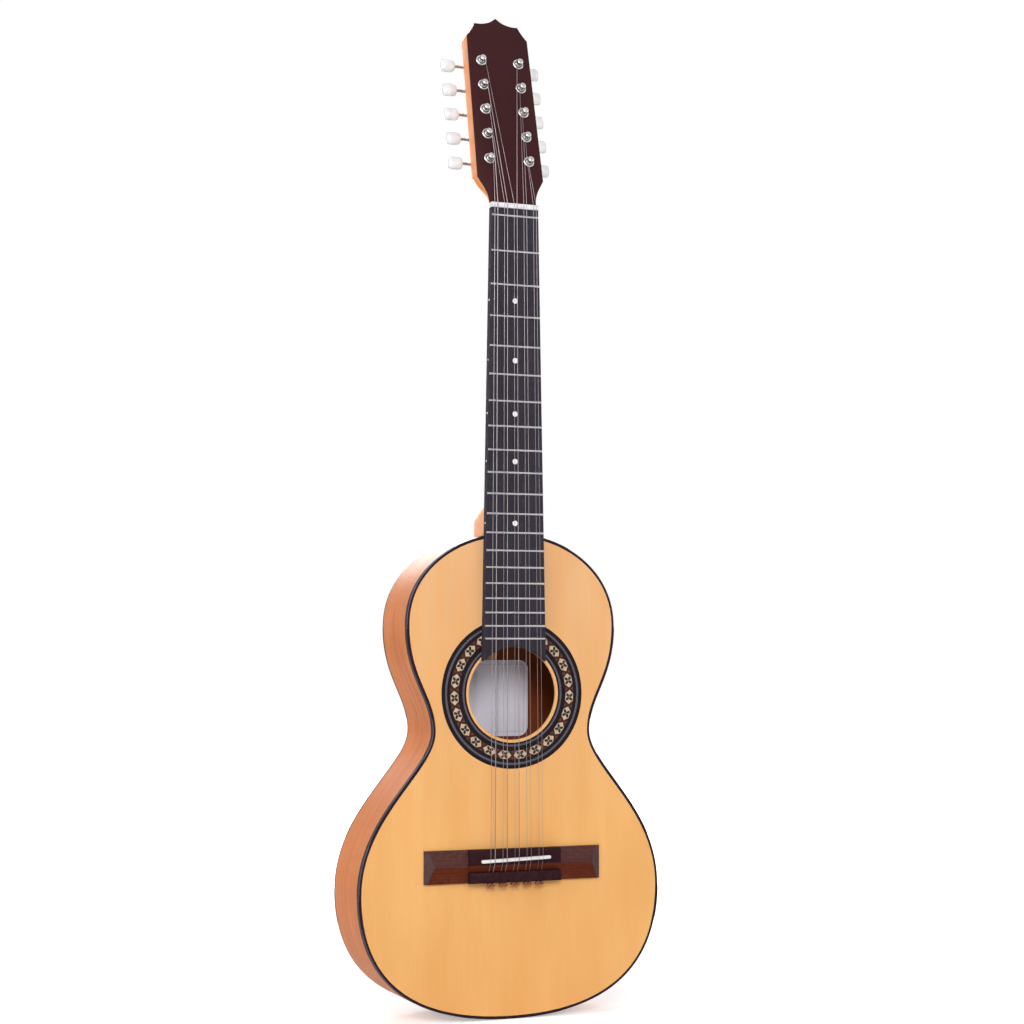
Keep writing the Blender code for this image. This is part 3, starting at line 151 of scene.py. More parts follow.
def behind(depth):
    """A test for edges that lie behind a depth."""
    return lambda edge: all(point.co.y > depth for point in edge.verts)

# %% [markdown]
# ## Four ways to make a shape
# Most of an instrument is sawn from sheets, bent, turned or carved. A sheet is an outline pushed
# through its thickness. A turned piece is a profile spun round an axis. A carved piece is a row of
# closed loops with a skin bridged between them. A wire is a curve with a round section.

# %% Helpers: sheet, turned piece, skin and soft edges
def loop_of(bm, points):
    """A closed loop of edges through a few points."""
    corners = [bm.verts.new(point) for point in points]
    return [bm.edges.new(pair) for pair in zip(corners, corners[1:] + corners[:1])]


def sheet_of(outline, near, far):
    """An outline of X and Z pushed from one depth to another."""
    bm = bmesh.new()
    face = bm.faces.new([bm.verts.new((x, near, z)) for x, z in outline])
    pushed = ops.extrude_face_region(bm, geom=[face])
    ops.translate(bm, verts=points_of(pushed), vec=(0, far - near, 0))
    ops.recalc_face_normals(bm, faces=bm.faces)
    return bm


def round_off(bm, edges, width, segments):
    """Bevels a few edges to a round."""
    ops.bevel(bm, geom=edges, offset=width, offset_type="OFFSET", segments=segments, profile=0.5,
              affect="EDGES", material=-1, clamp_overlap=True)


def soften(bm, width, segments, chosen=lambda edge: True, least=40.0):
    """Rounds the edges that are sharper than an angle and that pass a test."""
    ops.recalc_face_normals(bm, faces=bm.faces)
    limit = math.radians(least)
    sharp = [e for e in bm.edges if e.is_manifold and e.calc_face_angle() > limit and chosen(e)]
    round_off(bm, sharp, width, segments)


def saw(bm, through, facing, keep_all=True):
    """Cuts a drawing along a plane. Unless all is kept, the side that the plane faces goes."""
    whole = bm.verts[:] + bm.edges[:] + bm.faces[:]
    cut = ops.bisect_plane(bm, geom=whole, plane_co=through, plane_no=facing, clear_outer=not keep_all)
    if not keep_all:
        ops.holes_fill(bm, edges=lines_of(cut, "geom_cut"), sides=0)


def turned(profile, steps, closed=False):
    """Pairs of radius and depth spun round the Y axis."""
    bm = bmesh.new()
    knots = [bm.verts.new((radius, depth, 0)) for radius, depth in profile]
    ends = knots[1:] + knots[:1] if closed else knots[1:]
    lines = [bm.edges.new(pair) for pair in zip(knots, ends)]
    ops.spin(bm, geom=knots + lines, cent=(0, 0, 0), axis=(0, 1, 0), angle=2 * math.pi, steps=steps,
             use_merge=True)
    ops.remove_doubles(bm, verts=bm.verts, dist=0.001)
    return bm


def bridged(bm, loops):
    """Bridges a row of loops and closes its two ends."""
    for first, second in zip(loops, loops[1:]):
        ops.bridge_loops(bm, edges=first + second)
    ops.holes_fill(bm, edges=loops[0] + loops[-1], sides=0)
    return bm


def skinned(rings):
    """A skin over closed loops, with a face at each end."""
    bm = bmesh.new()
    return bridged(bm, [loop_of(bm, ring) for ring in rings])

# %% [markdown]
# ## The camera
# The photograph was taken from in front of the instrument, a little to its left and from well
# below the nut. The frets follow a known series, so they work as a ruler that fixes the camera's
# place and lens.

# %% Camera
CAMERA_AT = Vector((-0.689626, -1.740912, -0.395662))
YAW, PITCH, ROLL = math.radians(-21.657), math.radians(1.2991), math.radians(0.0076)
ahead = Vector((-math.sin(YAW), math.cos(YAW), 0))
level = Vector((math.cos(YAW), math.sin(YAW), 0))
forward = ahead * math.cos(PITCH) + Vector((0, 0, math.sin(PITCH)))
upright = level.cross(forward)
right = level * math.cos(ROLL) + upright * math.sin(ROLL)
up = upright * math.cos(ROLL) - level * math.sin(ROLL)

lens = bpy.data.cameras.new("studio_camera")
lens.sensor_width = 36.0
lens.lens = 72.04
lens.shift_x = -0.0021
lens.shift_y = 0.0882
camera = linked("studio_camera", lens)
camera.matrix_world = at(*CAMERA_AT) @ Matrix((right, up, -forward)).transposed().to_4x4()
bpy.context.scene.camera = camera
bpy.context.scene.view_settings.view_transform = "Standard"
print("camera at", CAMERA_AT)

# %% [markdown]
# ## Nodes in a few words
# A finish is a tree of nodes. These helpers add a node, link or set its inputs, and give back what
# comes out of it, so that a finish can be read as a few steps.

# %% Node helpers
def filled(tree, made, values):
    """Links or sets the inputs of a node."""
    for key, value in values.items():
        if isinstance(value, bpy.types.NodeSocket):
            tree.links.new(value, made.inputs[key])
        else:
            made.inputs[key].default_value = value
    return made


def node(tree, kind, values=None, **settings):
    """Adds a node, sets its fields, and links or sets its inputs."""
    made = tree.nodes.new(kind)
    for key, value in settings.items():
        setattr(made, key, value)
    return filled(tree, made, values or {})


def math_node(tree, operation, first, second=0.0, third=0.0, clamp=False):
    numbers = {0: first, 1: second, 2: third}
    return node(tree, "ShaderNodeMath", numbers, operation=operation, use_clamp=clamp).outputs[0]


def vector_node(tree, operation, first, second=(0, 0, 0)):
    return node(tree, "ShaderNodeVectorMath", {0: first, 1: second}, operation=operation).outputs


def axes_of(tree, vector):
    return node(tree, "ShaderNodeSeparateXYZ", {0: vector}).outputs


def ranged(tree, value, low, high, least=0.0, most=1.0):
    """Maps the span from low to high onto the span from least to most."""
    spans = {"Value": value, "From Min": low, "From Max": high, "To Min": least, "To Max": most}
    return node(tree, "ShaderNodeMapRange", spans).outputs[0]


def blended(tree, share, first, second):
    """Mixes two colours."""
    made = node(tree, "ShaderNodeMix", data_type="RGBA", blend_type="MIX", clamp_factor=True)
    return filled(tree, made, {0: share, 6: first, 7: second}).outputs[2]


def noise(tree, vector, scale, detail, stretch=(1, 1, 1)):
    stretched = vector_node(tree, "MULTIPLY", vector, stretch)[0]
    made = node(tree, "ShaderNodeTexNoise", {"Vector": stretched, "Scale": scale, "Detail": detail})
    return made.outputs["Fac"]


def new_finish(name, **constants):
    """An empty finish: its material, its node tree, its shader and the place it reads."""
    finish = bpy.data.materials.new(name)
    finish.use_nodes = True
    shader = finish.node_tree.nodes["Principled BSDF"]
    for label, value in constants.items():
        shader.inputs[label.replace("_", " ")].default_value = value
    place = node(finish.node_tree, "ShaderNodeTexCoord").outputs["Object"]
    return finish, finish.node_tree, shader, place


def colour(r, g, b):
    return (r, g, b, 1.0)

# %% [markdown]
# ## Light, floor and background
# A white studio: a large soft lamp in front and above, a weaker one on each side, one behind, and
# an even sky. The world looks pure white to the camera and to reflections, and gives a plain level
# of light to everything else. The floor is white too, but keeps the shadow under the instrument.

# %% Lamps and sky
SKY_LEVEL = 0.28
MIDDLE = Vector((0.0, 0.0, -0.35))


def lamp(name, place, width, watts):
    """A square soft lamp that looks at the instrument's middle."""
    data = bpy.data.lights.new(name, "AREA")
    data.shape = "SQUARE"
    data.size = width
    data.energy = watts
    obj = linked(name, data)
    obj.location = place
    obj.rotation_euler = (MIDDLE - Vector(place)).to_track_quat("-Z", "Y").to_euler()


lamp("soft_key", (-0.8, -3.0, 1.0), 1.3, 62.0)
lamp("soft_side", (-2.7, -0.9, 1.1), 1.4, 37.0)
lamp("soft_fill", (2.6, -1.4, 0.4), 1.6, 14.0)
lamp("soft_rear", (0.6, 2.8, 0.9), 1.8, 50.0)

world = bpy.data.worlds.new("white_studio")
bpy.context.scene.world = world
world.use_nodes = True
sky = world.node_tree
sky.nodes.clear()
ray = node(sky, "ShaderNodeLightPath").outputs
seen = math_node(sky, "MAXIMUM", ray["Is Camera Ray"], ray["Is Glossy Ray"])
seen = math_node(sky, "MAXIMUM", seen, ray["Is Transmission Ray"])
white = node(sky, "ShaderNodeBackground", {"Color": colour(1, 1, 1), "Strength": 1.0}).outputs[0]
even = node(sky, "ShaderNodeBackground", {"Color": colour(0.96, 0.98, 1.0), "Strength": SKY_LEVEL})
shown = node(sky, "ShaderNodeMixShader", {0: seen, 1: even.outputs[0], 2: white}).outputs[0]
node(sky, "ShaderNodeOutputWorld", {"Surface": shown})
print("lamps and sky ready")

# %% Floor
FLOOR_SIZE, FLOOR_Z, FLOOR_GAP = 6.0, cad_box[0][2], 0.0004
GLOW_NEAR, GLOW_FAR = 0.35, 1.1

bm = bmesh.new()
ops.create_grid(bm, x_segments=1, y_segments=1, size=FLOOR_SIZE)
ops.translate(bm, verts=bm.verts, vec=(0, 2.0, FLOOR_Z - FLOOR_GAP))
floor_mesh = bpy.data.meshes.new("floor")
bm.to_mesh(floor_mesh)
bm.free()
floor = linked("floor", floor_mesh)

# The floor is plain to every ray but the camera's, to which it fades to white away from the body
floor_paint, tree, base, place = new_finish(
    "floor_paint", Base_Color=colour(0.86, 0.86, 0.86), Roughness=0.9, Specular_IOR_Level=0.1)
away = vector_node(tree, "DISTANCE", place, (0.0, 0.05, FLOOR_Z))["Value"]
glow = node(tree, "ShaderNodeEmission", {"Strength": ranged(tree, away, GLOW_NEAR, GLOW_FAR, 0.42, 1.0)})
both = node(tree, "ShaderNodeAddShader", {0: base.outputs[0], 1: glow.outputs[0]})
to_camera = node(tree, "ShaderNodeLightPath").outputs["Is Camera Ray"]
by_ray = node(tree, "ShaderNodeMixShader", {0: to_camera, 1: base.outputs[0], 2: both.outputs[0]})
tree.links.new(by_ray.outputs[0], tree.nodes["Material Output"].inputs["Surface"])
floor_mesh.materials.append(floor_paint)
print("floor at", FLOOR_Z)

# %% [markdown]
# ## Effects shared by many finishes
# Wood, lacquer and wear appear all over the instrument, so each is a node group with its own
# knobs. The timber group lays growth rings across X, stretches its fibres along Z and lets slow
# clouds drift through the colour. The film group gives lacquer its faint waviness. The wear group
# finds the edges that hands and cases rub.

# %% The timber group
FLOAT, COLOUR, VECTOR = "NodeSocketFloat", "NodeSocketColor", "NodeSocketVector"


def new_group(name, inputs, outputs):
    """A shader node group with named sockets."""
    group = bpy.data.node_groups.new(name, "ShaderNodeTree")
    for label, (kind, value) in inputs.items():
        socket = group.interface.new_socket(label, in_out="INPUT", socket_type=kind)
        if value is not None:
            socket.default_value = value
    for label, kind in outputs.items():
        group.interface.new_socket(label, in_out="OUTPUT", socket_type=kind)
    return group, group.nodes.new("NodeGroupInput").outputs, group.nodes.new("NodeGroupOutput").inputs


timber, given, result = new_group(
    "timber",
    {
        "Vector": (VECTOR, None),
        "Pale": (COLOUR, (0.8, 0.5, 0.2, 1)),
        "Dark": (COLOUR, (0.5, 0.3, 0.1, 1)),
        "Ring pitch": (FLOAT, 0.0015),
        "Ring contrast": (FLOAT, 0.3),
        "Fibre contrast": (FLOAT, 0.3),
        "Cloud contrast": (FLOAT, 0.3),
    },
    {"Color": COLOUR, "Height": FLOAT},
)
drift = noise(timber, given["Vector"], 22.0, 2.0, (1, 1, 0.12))
turns = math_node(timber, "DIVIDE", axes_of(timber, given["Vector"])["X"], given["Ring pitch"])
bent = math_node(timber, "ADD", turns, math_node(timber, "MULTIPLY", drift, 7.0))
wave = math_node(timber, "SINE", math_node(timber, "MULTIPLY", bent, 2 * math.pi))
late = math_node(timber, "POWER", math_node(timber, "MULTIPLY_ADD", wave, 0.5, 0.5), 2.0)
fibre = noise(timber, given["Vector"], 1400.0, 3.0, (1, 1, 0.015))
cloud = ranged(timber, noise(timber, given["Vector"], 26.0, 3.0, (1, 1, 0.3)), 0.35, 0.7)
ring_part = math_node(timber, "MULTIPLY", late, given["Ring contrast"])
fibre_part = math_node(timber, "MULTIPLY", fibre, given["Fibre contrast"])
cloud_part = math_node(timber, "MULTIPLY", cloud, given["Cloud contrast"])
tone = math_node(timber, "ADD", math_node(timber, "ADD", ring_part, fibre_part), cloud_part, clamp=True)
timber.links.new(blended(timber, tone, given["Pale"], given["Dark"]), result["Color"])
timber.links.new(math_node(timber, "ADD", fibre, math_node(timber, "MULTIPLY", late, 0.4)), result["Height"])
print("timber group has", len(timber.nodes), "nodes")

# %% The film and wear groups
film, given, result = new_group(
    "film",
    {"Vector": (VECTOR, None), "Roughness": (FLOAT, 0.3), "Variation": (FLOAT, 0.1)},
    {"Roughness": FLOAT, "Height": FLOAT},
)
smear = math_node(film, "SUBTRACT", noise(film, given["Vector"], 35.0, 4.0), 0.5)
swing = math_node(film, "MULTIPLY", smear, given["Variation"])
film.links.new(math_node(film, "ADD", given["Roughness"], swing, clamp=True), result["Roughness"])
film.links.new(noise(film, given["Vector"], 320.0, 1.0), result["Height"])

wear, given, result = new_group(
    "edge wear", {"Vector": (VECTOR, None), "Amount": (FLOAT, 0.5)}, {"Mask": FLOAT})
edge = ranged(wear, node(wear, "ShaderNodeNewGeometry").outputs["Pointiness"], 0.515, 0.58)
patchy = ranged(wear, noise(wear, given["Vector"], 240.0, 3.0), 0.42, 0.62)
rubbed = math_node(wear, "MULTIPLY", math_node(wear, "MULTIPLY", edge, patchy), given["Amount"], clamp=True)
wear.links.new(rubbed, result["Mask"])


def grouped(tree, group, values):
    """Places a shared group in a material, with the material's own values."""
    return node(tree, "ShaderNodeGroup", values, node_tree=group).outputs


def coat(parts, shown, height, relief, roughness, variation, wavy=True):
    """Gives a finish its colour and relief, under a film that is a little uneven."""
    finish, tree, shader, place = parts
    lacquer = grouped(tree, film, {"Vector": place, "Roughness": roughness, "Variation": variation})
    if wavy:
        height = math_node(tree, "ADD", height, lacquer["Height"])
    bump = node(tree, "ShaderNodeBump", {"Height": height, "Distance": relief, "Strength": 0.6})
    filled(tree, shader, {
        "Base Color": shown, "Roughness": lacquer["Roughness"], "Normal": bump.outputs[0]})
    return finish


print("film and wear groups ready")

# %% [markdown]
# ## Wood finishes
# One maker serves every wood. What changes from wood to wood is where the grain points, how wide
# the rings are, how strong the fibres and clouds are, and how glossy the lacquer is. The spruce
# top has fine straight rings, the sides a bolder figure, the dark woods long open pores.

# %% Wood maker
ACROSS = (0, math.pi / 2, 0)


def wood(name, pale, dark, pitch, contrasts, roughness, turn=(0, 0, 0), relief=0.00003, worn=0.0,
         **constants):
    """A wood finish: two colours, how rings, fibres and clouds mix them, and the lacquer."""
    parts = new_finish(name, **constants)
    _, tree, _, place = parts
    rings, fibres, clouds = contrasts
    grain = grouped(tree, timber, {
        "Vector": node(tree, "ShaderNodeMapping", {"Vector": place, "Rotation": turn}).outputs[0],
        "Pale": colour(*pale), "Dark": colour(*dark), "Ring pitch": pitch, "Ring contrast": rings,
        "Fibre contrast": fibres, "Cloud contrast": clouds})
    shown = grain["Color"]
    if worn:
        rub = grouped(tree, wear, {"Vector": place, "Amount": worn})["Mask"]
        paler = [min(1.0, channel * 1.6 + 0.03) for channel in pale]
        shown = blended(tree, rub, shown, colour(*paler))
    return coat(parts, shown, grain["Height"], relief, roughness, 0.14)


spruce_finish = wood("spruce_top", (0.88, 0.49, 0.180), (0.70, 0.315, 0.080), 0.0014, (0.18, 0.30, 0.34),
                     0.36, relief=0.00001, Specular_IOR_Level=0.2)
neck_finish = wood("neck_timber", (0.92, 0.355, 0.125), (0.74, 0.225, 0.065), 0.004, (0.2, 0.35, 0.3),
                   0.36, relief=0.00002, Specular_IOR_Level=0.12)
inner_finish = wood("bare_inner_timber", (0.62, 0.38, 0.20), (0.42, 0.22, 0.10), 0.0022,
                    (0.3, 0.35, 0.25), 0.62, Specular_IOR_Level=0.25)
back_finish = wood("back_timber", (0.66, 0.245, 0.095), (0.40, 0.13, 0.05), 0.010, (0.35, 0.3, 0.3),
                   0.32, relief=0.00001, Specular_IOR_Level=0.2)
# The inside of the body: bare wood, darkened as painted shade
inside_shade_finish = wood("bare_inside_painted_shade", (0.27, 0.065, 0.020), (0.14, 0.035, 0.012), 0.010,
                     (0.35, 0.3, 0.3), 0.6, relief=0.00002, Specular_IOR_Level=0.04)
ebony_finish = wood("ebony_board", (0.042, 0.036, 0.050), (0.018, 0.015, 0.021), 0.0018, (0.2, 0.5, 0.3),
                    0.5, relief=0.00004, worn=0.25, Specular_IOR_Level=0.06)
facing_finish = wood("dark_facing", (0.052, 0.014, 0.015), (0.028, 0.009, 0.011), 0.0031,
                     (0.12, 0.45, 0.4), 0.42, relief=0.00002, Specular_IOR_Level=0.06)
bridge_finish = wood("bridge_rosewood", (0.135, 0.022, 0.006), (0.050, 0.010, 0.004), 0.0026,
                     (0.3, 0.5, 0.4), 0.36, ACROSS, worn=0.3, Specular_IOR_Level=0.1)
# A purplish grey for the wings' front facets: a painted sheen in place of their reflection
wing_sheen_finish = wood("bridge_rosewood_painted_sheen", (0.086, 0.023, 0.019), (0.042, 0.012, 0.011), 0.0026,
                   (0.3, 0.5, 0.4), 0.3, ACROSS, worn=0.3, Specular_IOR_Level=0.2)
# A lighter grey for the wings' bevelled end facets: a painted reflection
end_facet_reflection_finish = wood("bridge_end_painted_reflection", (0.072, 0.034, 0.034), (0.045, 0.020, 0.021), 0.0026,
                  (0.2, 0.4, 0.3), 0.4, worn=0.3, Specular_IOR_Level=0.2)
block_finish = wood("bridge_block_rosewood", (0.030, 0.007, 0.009), (0.013, 0.004, 0.006), 0.0022,
                    (0.3, 0.5, 0.3), 0.42, ACROSS, worn=0.2, Specular_IOR_Level=0.07)
print("wood finishes ready")

# %% [markdown]
# ## Colour that changes along the instrument
# The neck is paler at the heel than at the head, and the top has a painted sheen towards the neck,
# with slow streaks in its wood that run down it. The paler heel and the sheen are each one more
# colour, mixed in by height before the shader.

# %% Paler heel and painted sheen on the upper bout
def paled(finish, low, high, share, paler):
    """Mixes a paler colour in between two heights, and gives back the tree, place and socket."""
    tree = finish.node_tree
    base = tree.nodes["Principled BSDF"].inputs["Base Color"]
    place = node(tree, "ShaderNodeTexCoord").outputs["Object"]
    paling = ranged(tree, axes_of(tree, place)["Z"], low, high, 0.0, share)
    tree.links.new(blended(tree, paling, base.links[0].from_socket, paler), base)
    return tree, place, base


paled(neck_finish, -0.15, -0.27, 0.8, colour(1.0, 0.50, 0.225))
# A paler, greyer colour towards the neck: a painted sheen on the top's upper bout
tree, place, base = paled(spruce_finish, -0.56, -0.34, 0.30, colour(0.63, 0.40, 0.31))
slow = ranged(tree, noise(tree, place, 75.0, 2.0, (1, 1, 0.09)), 0.42, 0.68, 0.0, 0.34)
tree.links.new(blended(tree, slow, base.links[0].from_socket, colour(0.80, 0.36, 0.10)), base)
print("neck and top vary along their length")

# %% [markdown]
# ## The bent sides' finish
# The grain of a bent side follows the bend, so plain coordinates would cut across it. The side
# carries its own map: one direction is the length along the rib, the other the depth. The same
# timber group reads that map, with a faint cross figure and darker grain lines over it. The lines
# are strongest by the waist on the bass side, as the photograph shows.

# %% Side finish
side_parts = new_finish("side_timber", Specular_IOR_Level=0.07)
_, tree, _, place = side_parts
on_rib = axes_of(tree, node(tree, "ShaderNodeUVMap", uv_map="along_rib").outputs[0])
mapped = node(tree, "ShaderNodeCombineXYZ", {"X": on_rib["Y"], "Z": on_rib["X"]}).outputs[0]
grain = grouped(tree, timber, {
    "Vector": mapped, "Pale": colour(0.78, 0.250, 0.068), "Dark": colour(0.56, 0.160, 0.044),
    "Ring pitch": 0.011, "Ring contrast": 0.2, "Fibre contrast": 0.26, "Cloud contrast": 0.34})
figure = ranged(tree, noise(tree, mapped, 60.0, 2.0, (0.35, 1, 1.6)), 0.45, 0.75, 0.0, 0.35)
figured = blended(tree, figure, grain["Color"], colour(0.58, 0.170, 0.055))
lines = ranged(tree, noise(tree, mapped, 230.0, 2.0, (1, 1, 0.05)), 0.46, 0.60)
by_waist = node(tree, "ShaderNodeMapping", {"Vector": mapped, "Location": (-0.033, 0, -0.212)}).outputs[0]
oval = vector_node(tree, "LENGTH", vector_node(tree, "MULTIPLY", by_waist, (60.0, 0, 17.0))[0])["Value"]
ragged = math_node(tree, "ADD", oval, math_node(tree, "MULTIPLY", noise(tree, mapped, 90.0, 3.0), 0.9))
patch = ranged(tree, ragged, 2.0, 0.7, 0.0, 0.7)
on_bass = math_node(tree, "LESS_THAN", axes_of(tree, place)["X"], 0.0)
lined = math_node(tree, "MULTIPLY", lines, math_node(tree, "MULTIPLY_ADD", patch, on_bass, 0.12))
stained = blended(tree, lined, figured, colour(0.40, 0.120, 0.042))
side_finish = coat(side_parts, stained, grain["Height"], 0.00001, 0.34, 0.12)
print("side finish has", len(tree.nodes), "nodes")

# %% [markdown]
# ## Binding, bone, pearl and metals
# The smaller finishes are each a colour with its own flaws: the binding is dark and slightly
# purple, bone has fine pores, pearl has cloudy layers, and nickel is brushed by polishing. One
# maker mixes two near colours by a noise, which may be stretched.

# %% Small finishes
def flecked(name, first, second, scale, roughness, metallic=0.0, stretch=(1, 1, 1), worn=0.0,
            worn_colour=None, **constants):
    """A finish of two near colours mixed by a noise, with lacquer's unevenness."""
    parts = new_finish(name, Metallic=metallic, **constants)
    _, tree, _, place = parts
    fleck = noise(tree, place, scale, 3.0, stretch)
    shown = blended(tree, ranged(tree, fleck, 0.35, 0.65), colour(*first), colour(*second))
    if worn:
        rub = grouped(tree, wear, {"Vector": place, "Amount": worn})["Mask"]
        shown = blended(tree, rub, shown, colour(*worn_colour))
    return coat(parts, shown, fleck, 0.00001, roughness, 0.16)


binding_finish = flecked("dark_binding", (0.026, 0.012, 0.022), (0.015, 0.008, 0.014), 500.0, 0.34,
                         Specular_IOR_Level=0.08)
# A lighter grey for the binding's rounded corner: a painted highlight
corner_highlight_finish = flecked("binding_painted_highlight", (0.120, 0.100, 0.130), (0.085, 0.070, 0.095), 500.0, 0.3,
                           Specular_IOR_Level=0.2)
purfling_finish = flecked("grey_purfling", (0.115, 0.108, 0.135), (0.07, 0.065, 0.085), 700.0, 0.45,
                          Specular_IOR_Level=0.1)
black_finish = flecked("black_ring", (0.017, 0.011, 0.014), (0.008, 0.006, 0.008), 600.0, 0.45,
                       Specular_IOR_Level=0.06)
ground_finish = flecked("mosaic_ground", (0.060, 0.022, 0.018), (0.028, 0.012, 0.012), 500.0, 0.45,
                        Specular_IOR_Level=0.12)
wedge_finish = flecked("mosaic_wedge", (0.17, 0.050, 0.032), (0.10, 0.030, 0.020), 500.0, 0.45,
                       Specular_IOR_Level=0.1)
tile_finish = flecked("mosaic_tile", (0.66, 0.48, 0.32), (0.48, 0.33, 0.22), 420.0, 0.45,
                      Specular_IOR_Level=0.15)
petal_finish = flecked("mosaic_petal", (0.034, 0.040, 0.043), (0.014, 0.017, 0.018), 500.0, 0.45,
                       Specular_IOR_Level=0.12)
bone_finish = flecked("bone", (0.80, 0.78, 0.80), (0.68, 0.66, 0.67), 380.0, 0.40, stretch=(0.3, 1, 1))
dot_finish = flecked("dot_pearl", (0.92, 0.91, 0.90), (0.80, 0.80, 0.82), 420.0, 0.28)
pearl_finish = flecked("button_pearl", (0.83, 0.85, 0.87), (0.70, 0.72, 0.74), 130.0, 0.25,
                       stretch=(1, 1, 0.4), Coat_Weight=0.2, Coat_Roughness=0.08)
nickel_finish = flecked("nickel", (0.56, 0.54, 0.53), (0.43, 0.41, 0.41), 420.0, 0.24, 1.0, worn=0.6,
                        worn_colour=(0.74, 0.70, 0.64))
fret_finish = flecked("fret_wire", (0.62, 0.60, 0.62), (0.50, 0.48, 0.50), 500.0, 0.26, 1.0, (0.1, 1, 1))
brass_finish = flecked("brass", (0.66, 0.40, 0.18), (0.48, 0.26, 0.11), 600.0, 0.32, 1.0, worn=0.5,
                       worn_colour=(0.8, 0.6, 0.3))
print("small finishes ready")

# %% [markdown]
# ## Plain and wound strings
# The thin strings are bare drawn steel. The thicker one of each low pair is a steel core wound
# with bronze wire, which shows as fine ribs across the string. The ribs come from a wave along
# the string, used for both colour and relief.

# %% String finishes
plain_finish = flecked("drawn_steel", (0.42, 0.37, 0.38), (0.32, 0.28, 0.29), 300.0, 0.30, 1.0,
                       (1, 1, 0.05))
copper_finish = flecked("copper_ball", (0.42, 0.17, 0.08), (0.26, 0.10, 0.05), 500.0, 0.42, 1.0)
wound_parts = new_finish("wound_string", Metallic=1.0)
_, tree, _, place = wound_parts
winding = node(tree, "ShaderNodeTexWave", {"Vector": place, "Scale": 520.0}, wave_type="BANDS",
               bands_direction="Z").outputs["Fac"]
metal = blended(tree, noise(tree, place, 60.0, 3.0), colour(0.44, 0.38, 0.38), colour(0.34, 0.29, 0.29))
grooved = blended(tree, winding, colour(0.20, 0.17, 0.17), metal)
wound_finish = coat(wound_parts, grooved, winding, 0.00005, 0.34, 0.1, wavy=False)
print("string finishes ready")

# %% [markdown]
# ## The body's outline
# A body is drawn as two bouts and a waist. Half of it is four Bezier curves, set out from the neck
# joint, the widest place of the upper bout, the waist, the widest place of the lower bout and the
# tail. The other half is its mirror image. Every sheet of the body starts from this outline.

# %% Outline and depth of the body
BODY_TOP, BODY_BOTTOM, HOLE_Z = -290.0, -732.0, -436.3
BACK_AT_NECK, BACK_LEAN = 68.3, 9.0 / 442.0
OUTLINE_STEPS = 41
KNOTS = (
    ((0, BODY_TOP), (52.0, BODY_TOP), (101.9, -322.0), (101.9, -374.2)),
    ((101.9, -374.2), (101.9, -423.0), (76.9, -439.4), (76.9, -470.7)),
    ((76.9, -470.7), (76.9, -504.5), (146.5, -543.8), (146.5, -615.1)),
    ((146.5, -615.1), (146.5, -671.7), (119.3, BODY_BOTTOM), (0, BODY_BOTTOM)),
)
half_outline = []
for knots in KNOTS:
    half_outline += interpolate_bezier(*map(Vector, knots), OUTLINE_STEPS)[:-1]
half_outline.append(Vector((0, BODY_BOTTOM)))
whole_outline = half_outline + [Vector((-p.x, p.y)) for p in reversed(half_outline[1:-1])]
print("outline points:", len(whole_outline))


def back_depth(z):
    """The depth of the back's outer face, which grows from the neck to the tail."""
    return BACK_AT_NECK + BACK_LEAN * (BODY_TOP - z)


def body_sheet(depth):
    """A drawing that holds the body's outline as one face."""
    bm = bmesh.new()
    face = bm.faces.new([bm.verts.new((p.x, depth, p.y)) for p in whole_outline])
    bm.normal_update()
    return bm, face


def rim_of(bm, face, width):
    """Insets a face, and gives the rim that this leaves round it."""
    return ops.inset_region(bm, faces=[face], thickness=width, use_even_offset=True,
                            use_boundary=True)["faces"]


def trimmed_sheet(depth, width):
    """The body's outline as one face, with a strip cut off all round it."""
    bm, face = body_sheet(depth)
    ops.delete(bm, geom=rim_of(bm, face, width), context="FACES")
    return bm, face


def body_ring(depth, inner, outer=0.0):
    """The strip between two distances inside the outline."""
    bm, face = trimmed_sheet(depth, outer) if outer else body_sheet(depth)
    ring = rim_of(bm, face, inner - outer)
    ops.delete(bm, geom=[face], context="FACES_ONLY")
    return bm, ring


def lay_at(bm, to_depth):
    """Moves a drawing to a depth that may change with height."""
    for point in bm.verts:
        point.co.y = to_depth(point.co.z)


def push(bm, faces, to_depth):
    """Extrudes faces to a depth that may change with height."""
    for point in points_of(ops.extrude_face_region(bm, geom=faces)):
        point.co.y = to_depth(point.co.z)

# %% [markdown]
# ## The soundboard
# The top is thin spruce, joined down the middle, with a round hole and a shallow groove round it
# for the rosette. The groove and the hole's edge are one small profile spun round the hole's
# centre. The flat face between that ring and the outline is then filled, so there is no Boolean
# and the edges stay clean.

# %% Soundboard
BINDING_WIDTH, BINDING_DEPTH, TOP_THICKNESS = 2.7, 5.5, 2.6
HOLE_RADIUS, ROSETTE_IN, ROSETTE_OUT, GROOVE = 42.4, 45.0, 68.8, 1.0
EASED = 0.3
at_hole = at(z=HOLE_Z)

bm, face = trimmed_sheet(0.0, BINDING_WIDTH)
ops.delete(bm, geom=[face], context="FACES_ONLY")
hole_profile = [
    (ROSETTE_OUT, 0.0), (ROSETTE_OUT, GROOVE), (ROSETTE_IN, GROOVE), (ROSETTE_IN, 0.0),
    (HOLE_RADIUS + EASED, 0.0), (HOLE_RADIUS, EASED), (HOLE_RADIUS, TOP_THICKNESS - EASED),
    (HOLE_RADIUS + EASED, TOP_THICKNESS),
]
set_in(bm, turned(hole_profile, 144), at_hole)


def circle_edges(bm, radius, depth):
    """The edges of a circle round the hole's centre at a depth."""
    def on_it(point):
        away = math.hypot(point.co.x, point.co.z - HOLE_Z)
        return abs(point.co.y - depth) < 0.01 and abs(away - radius) < 0.02
    return [e for e in bm.edges if on_it(e.verts[0]) and on_it(e.verts[1])]


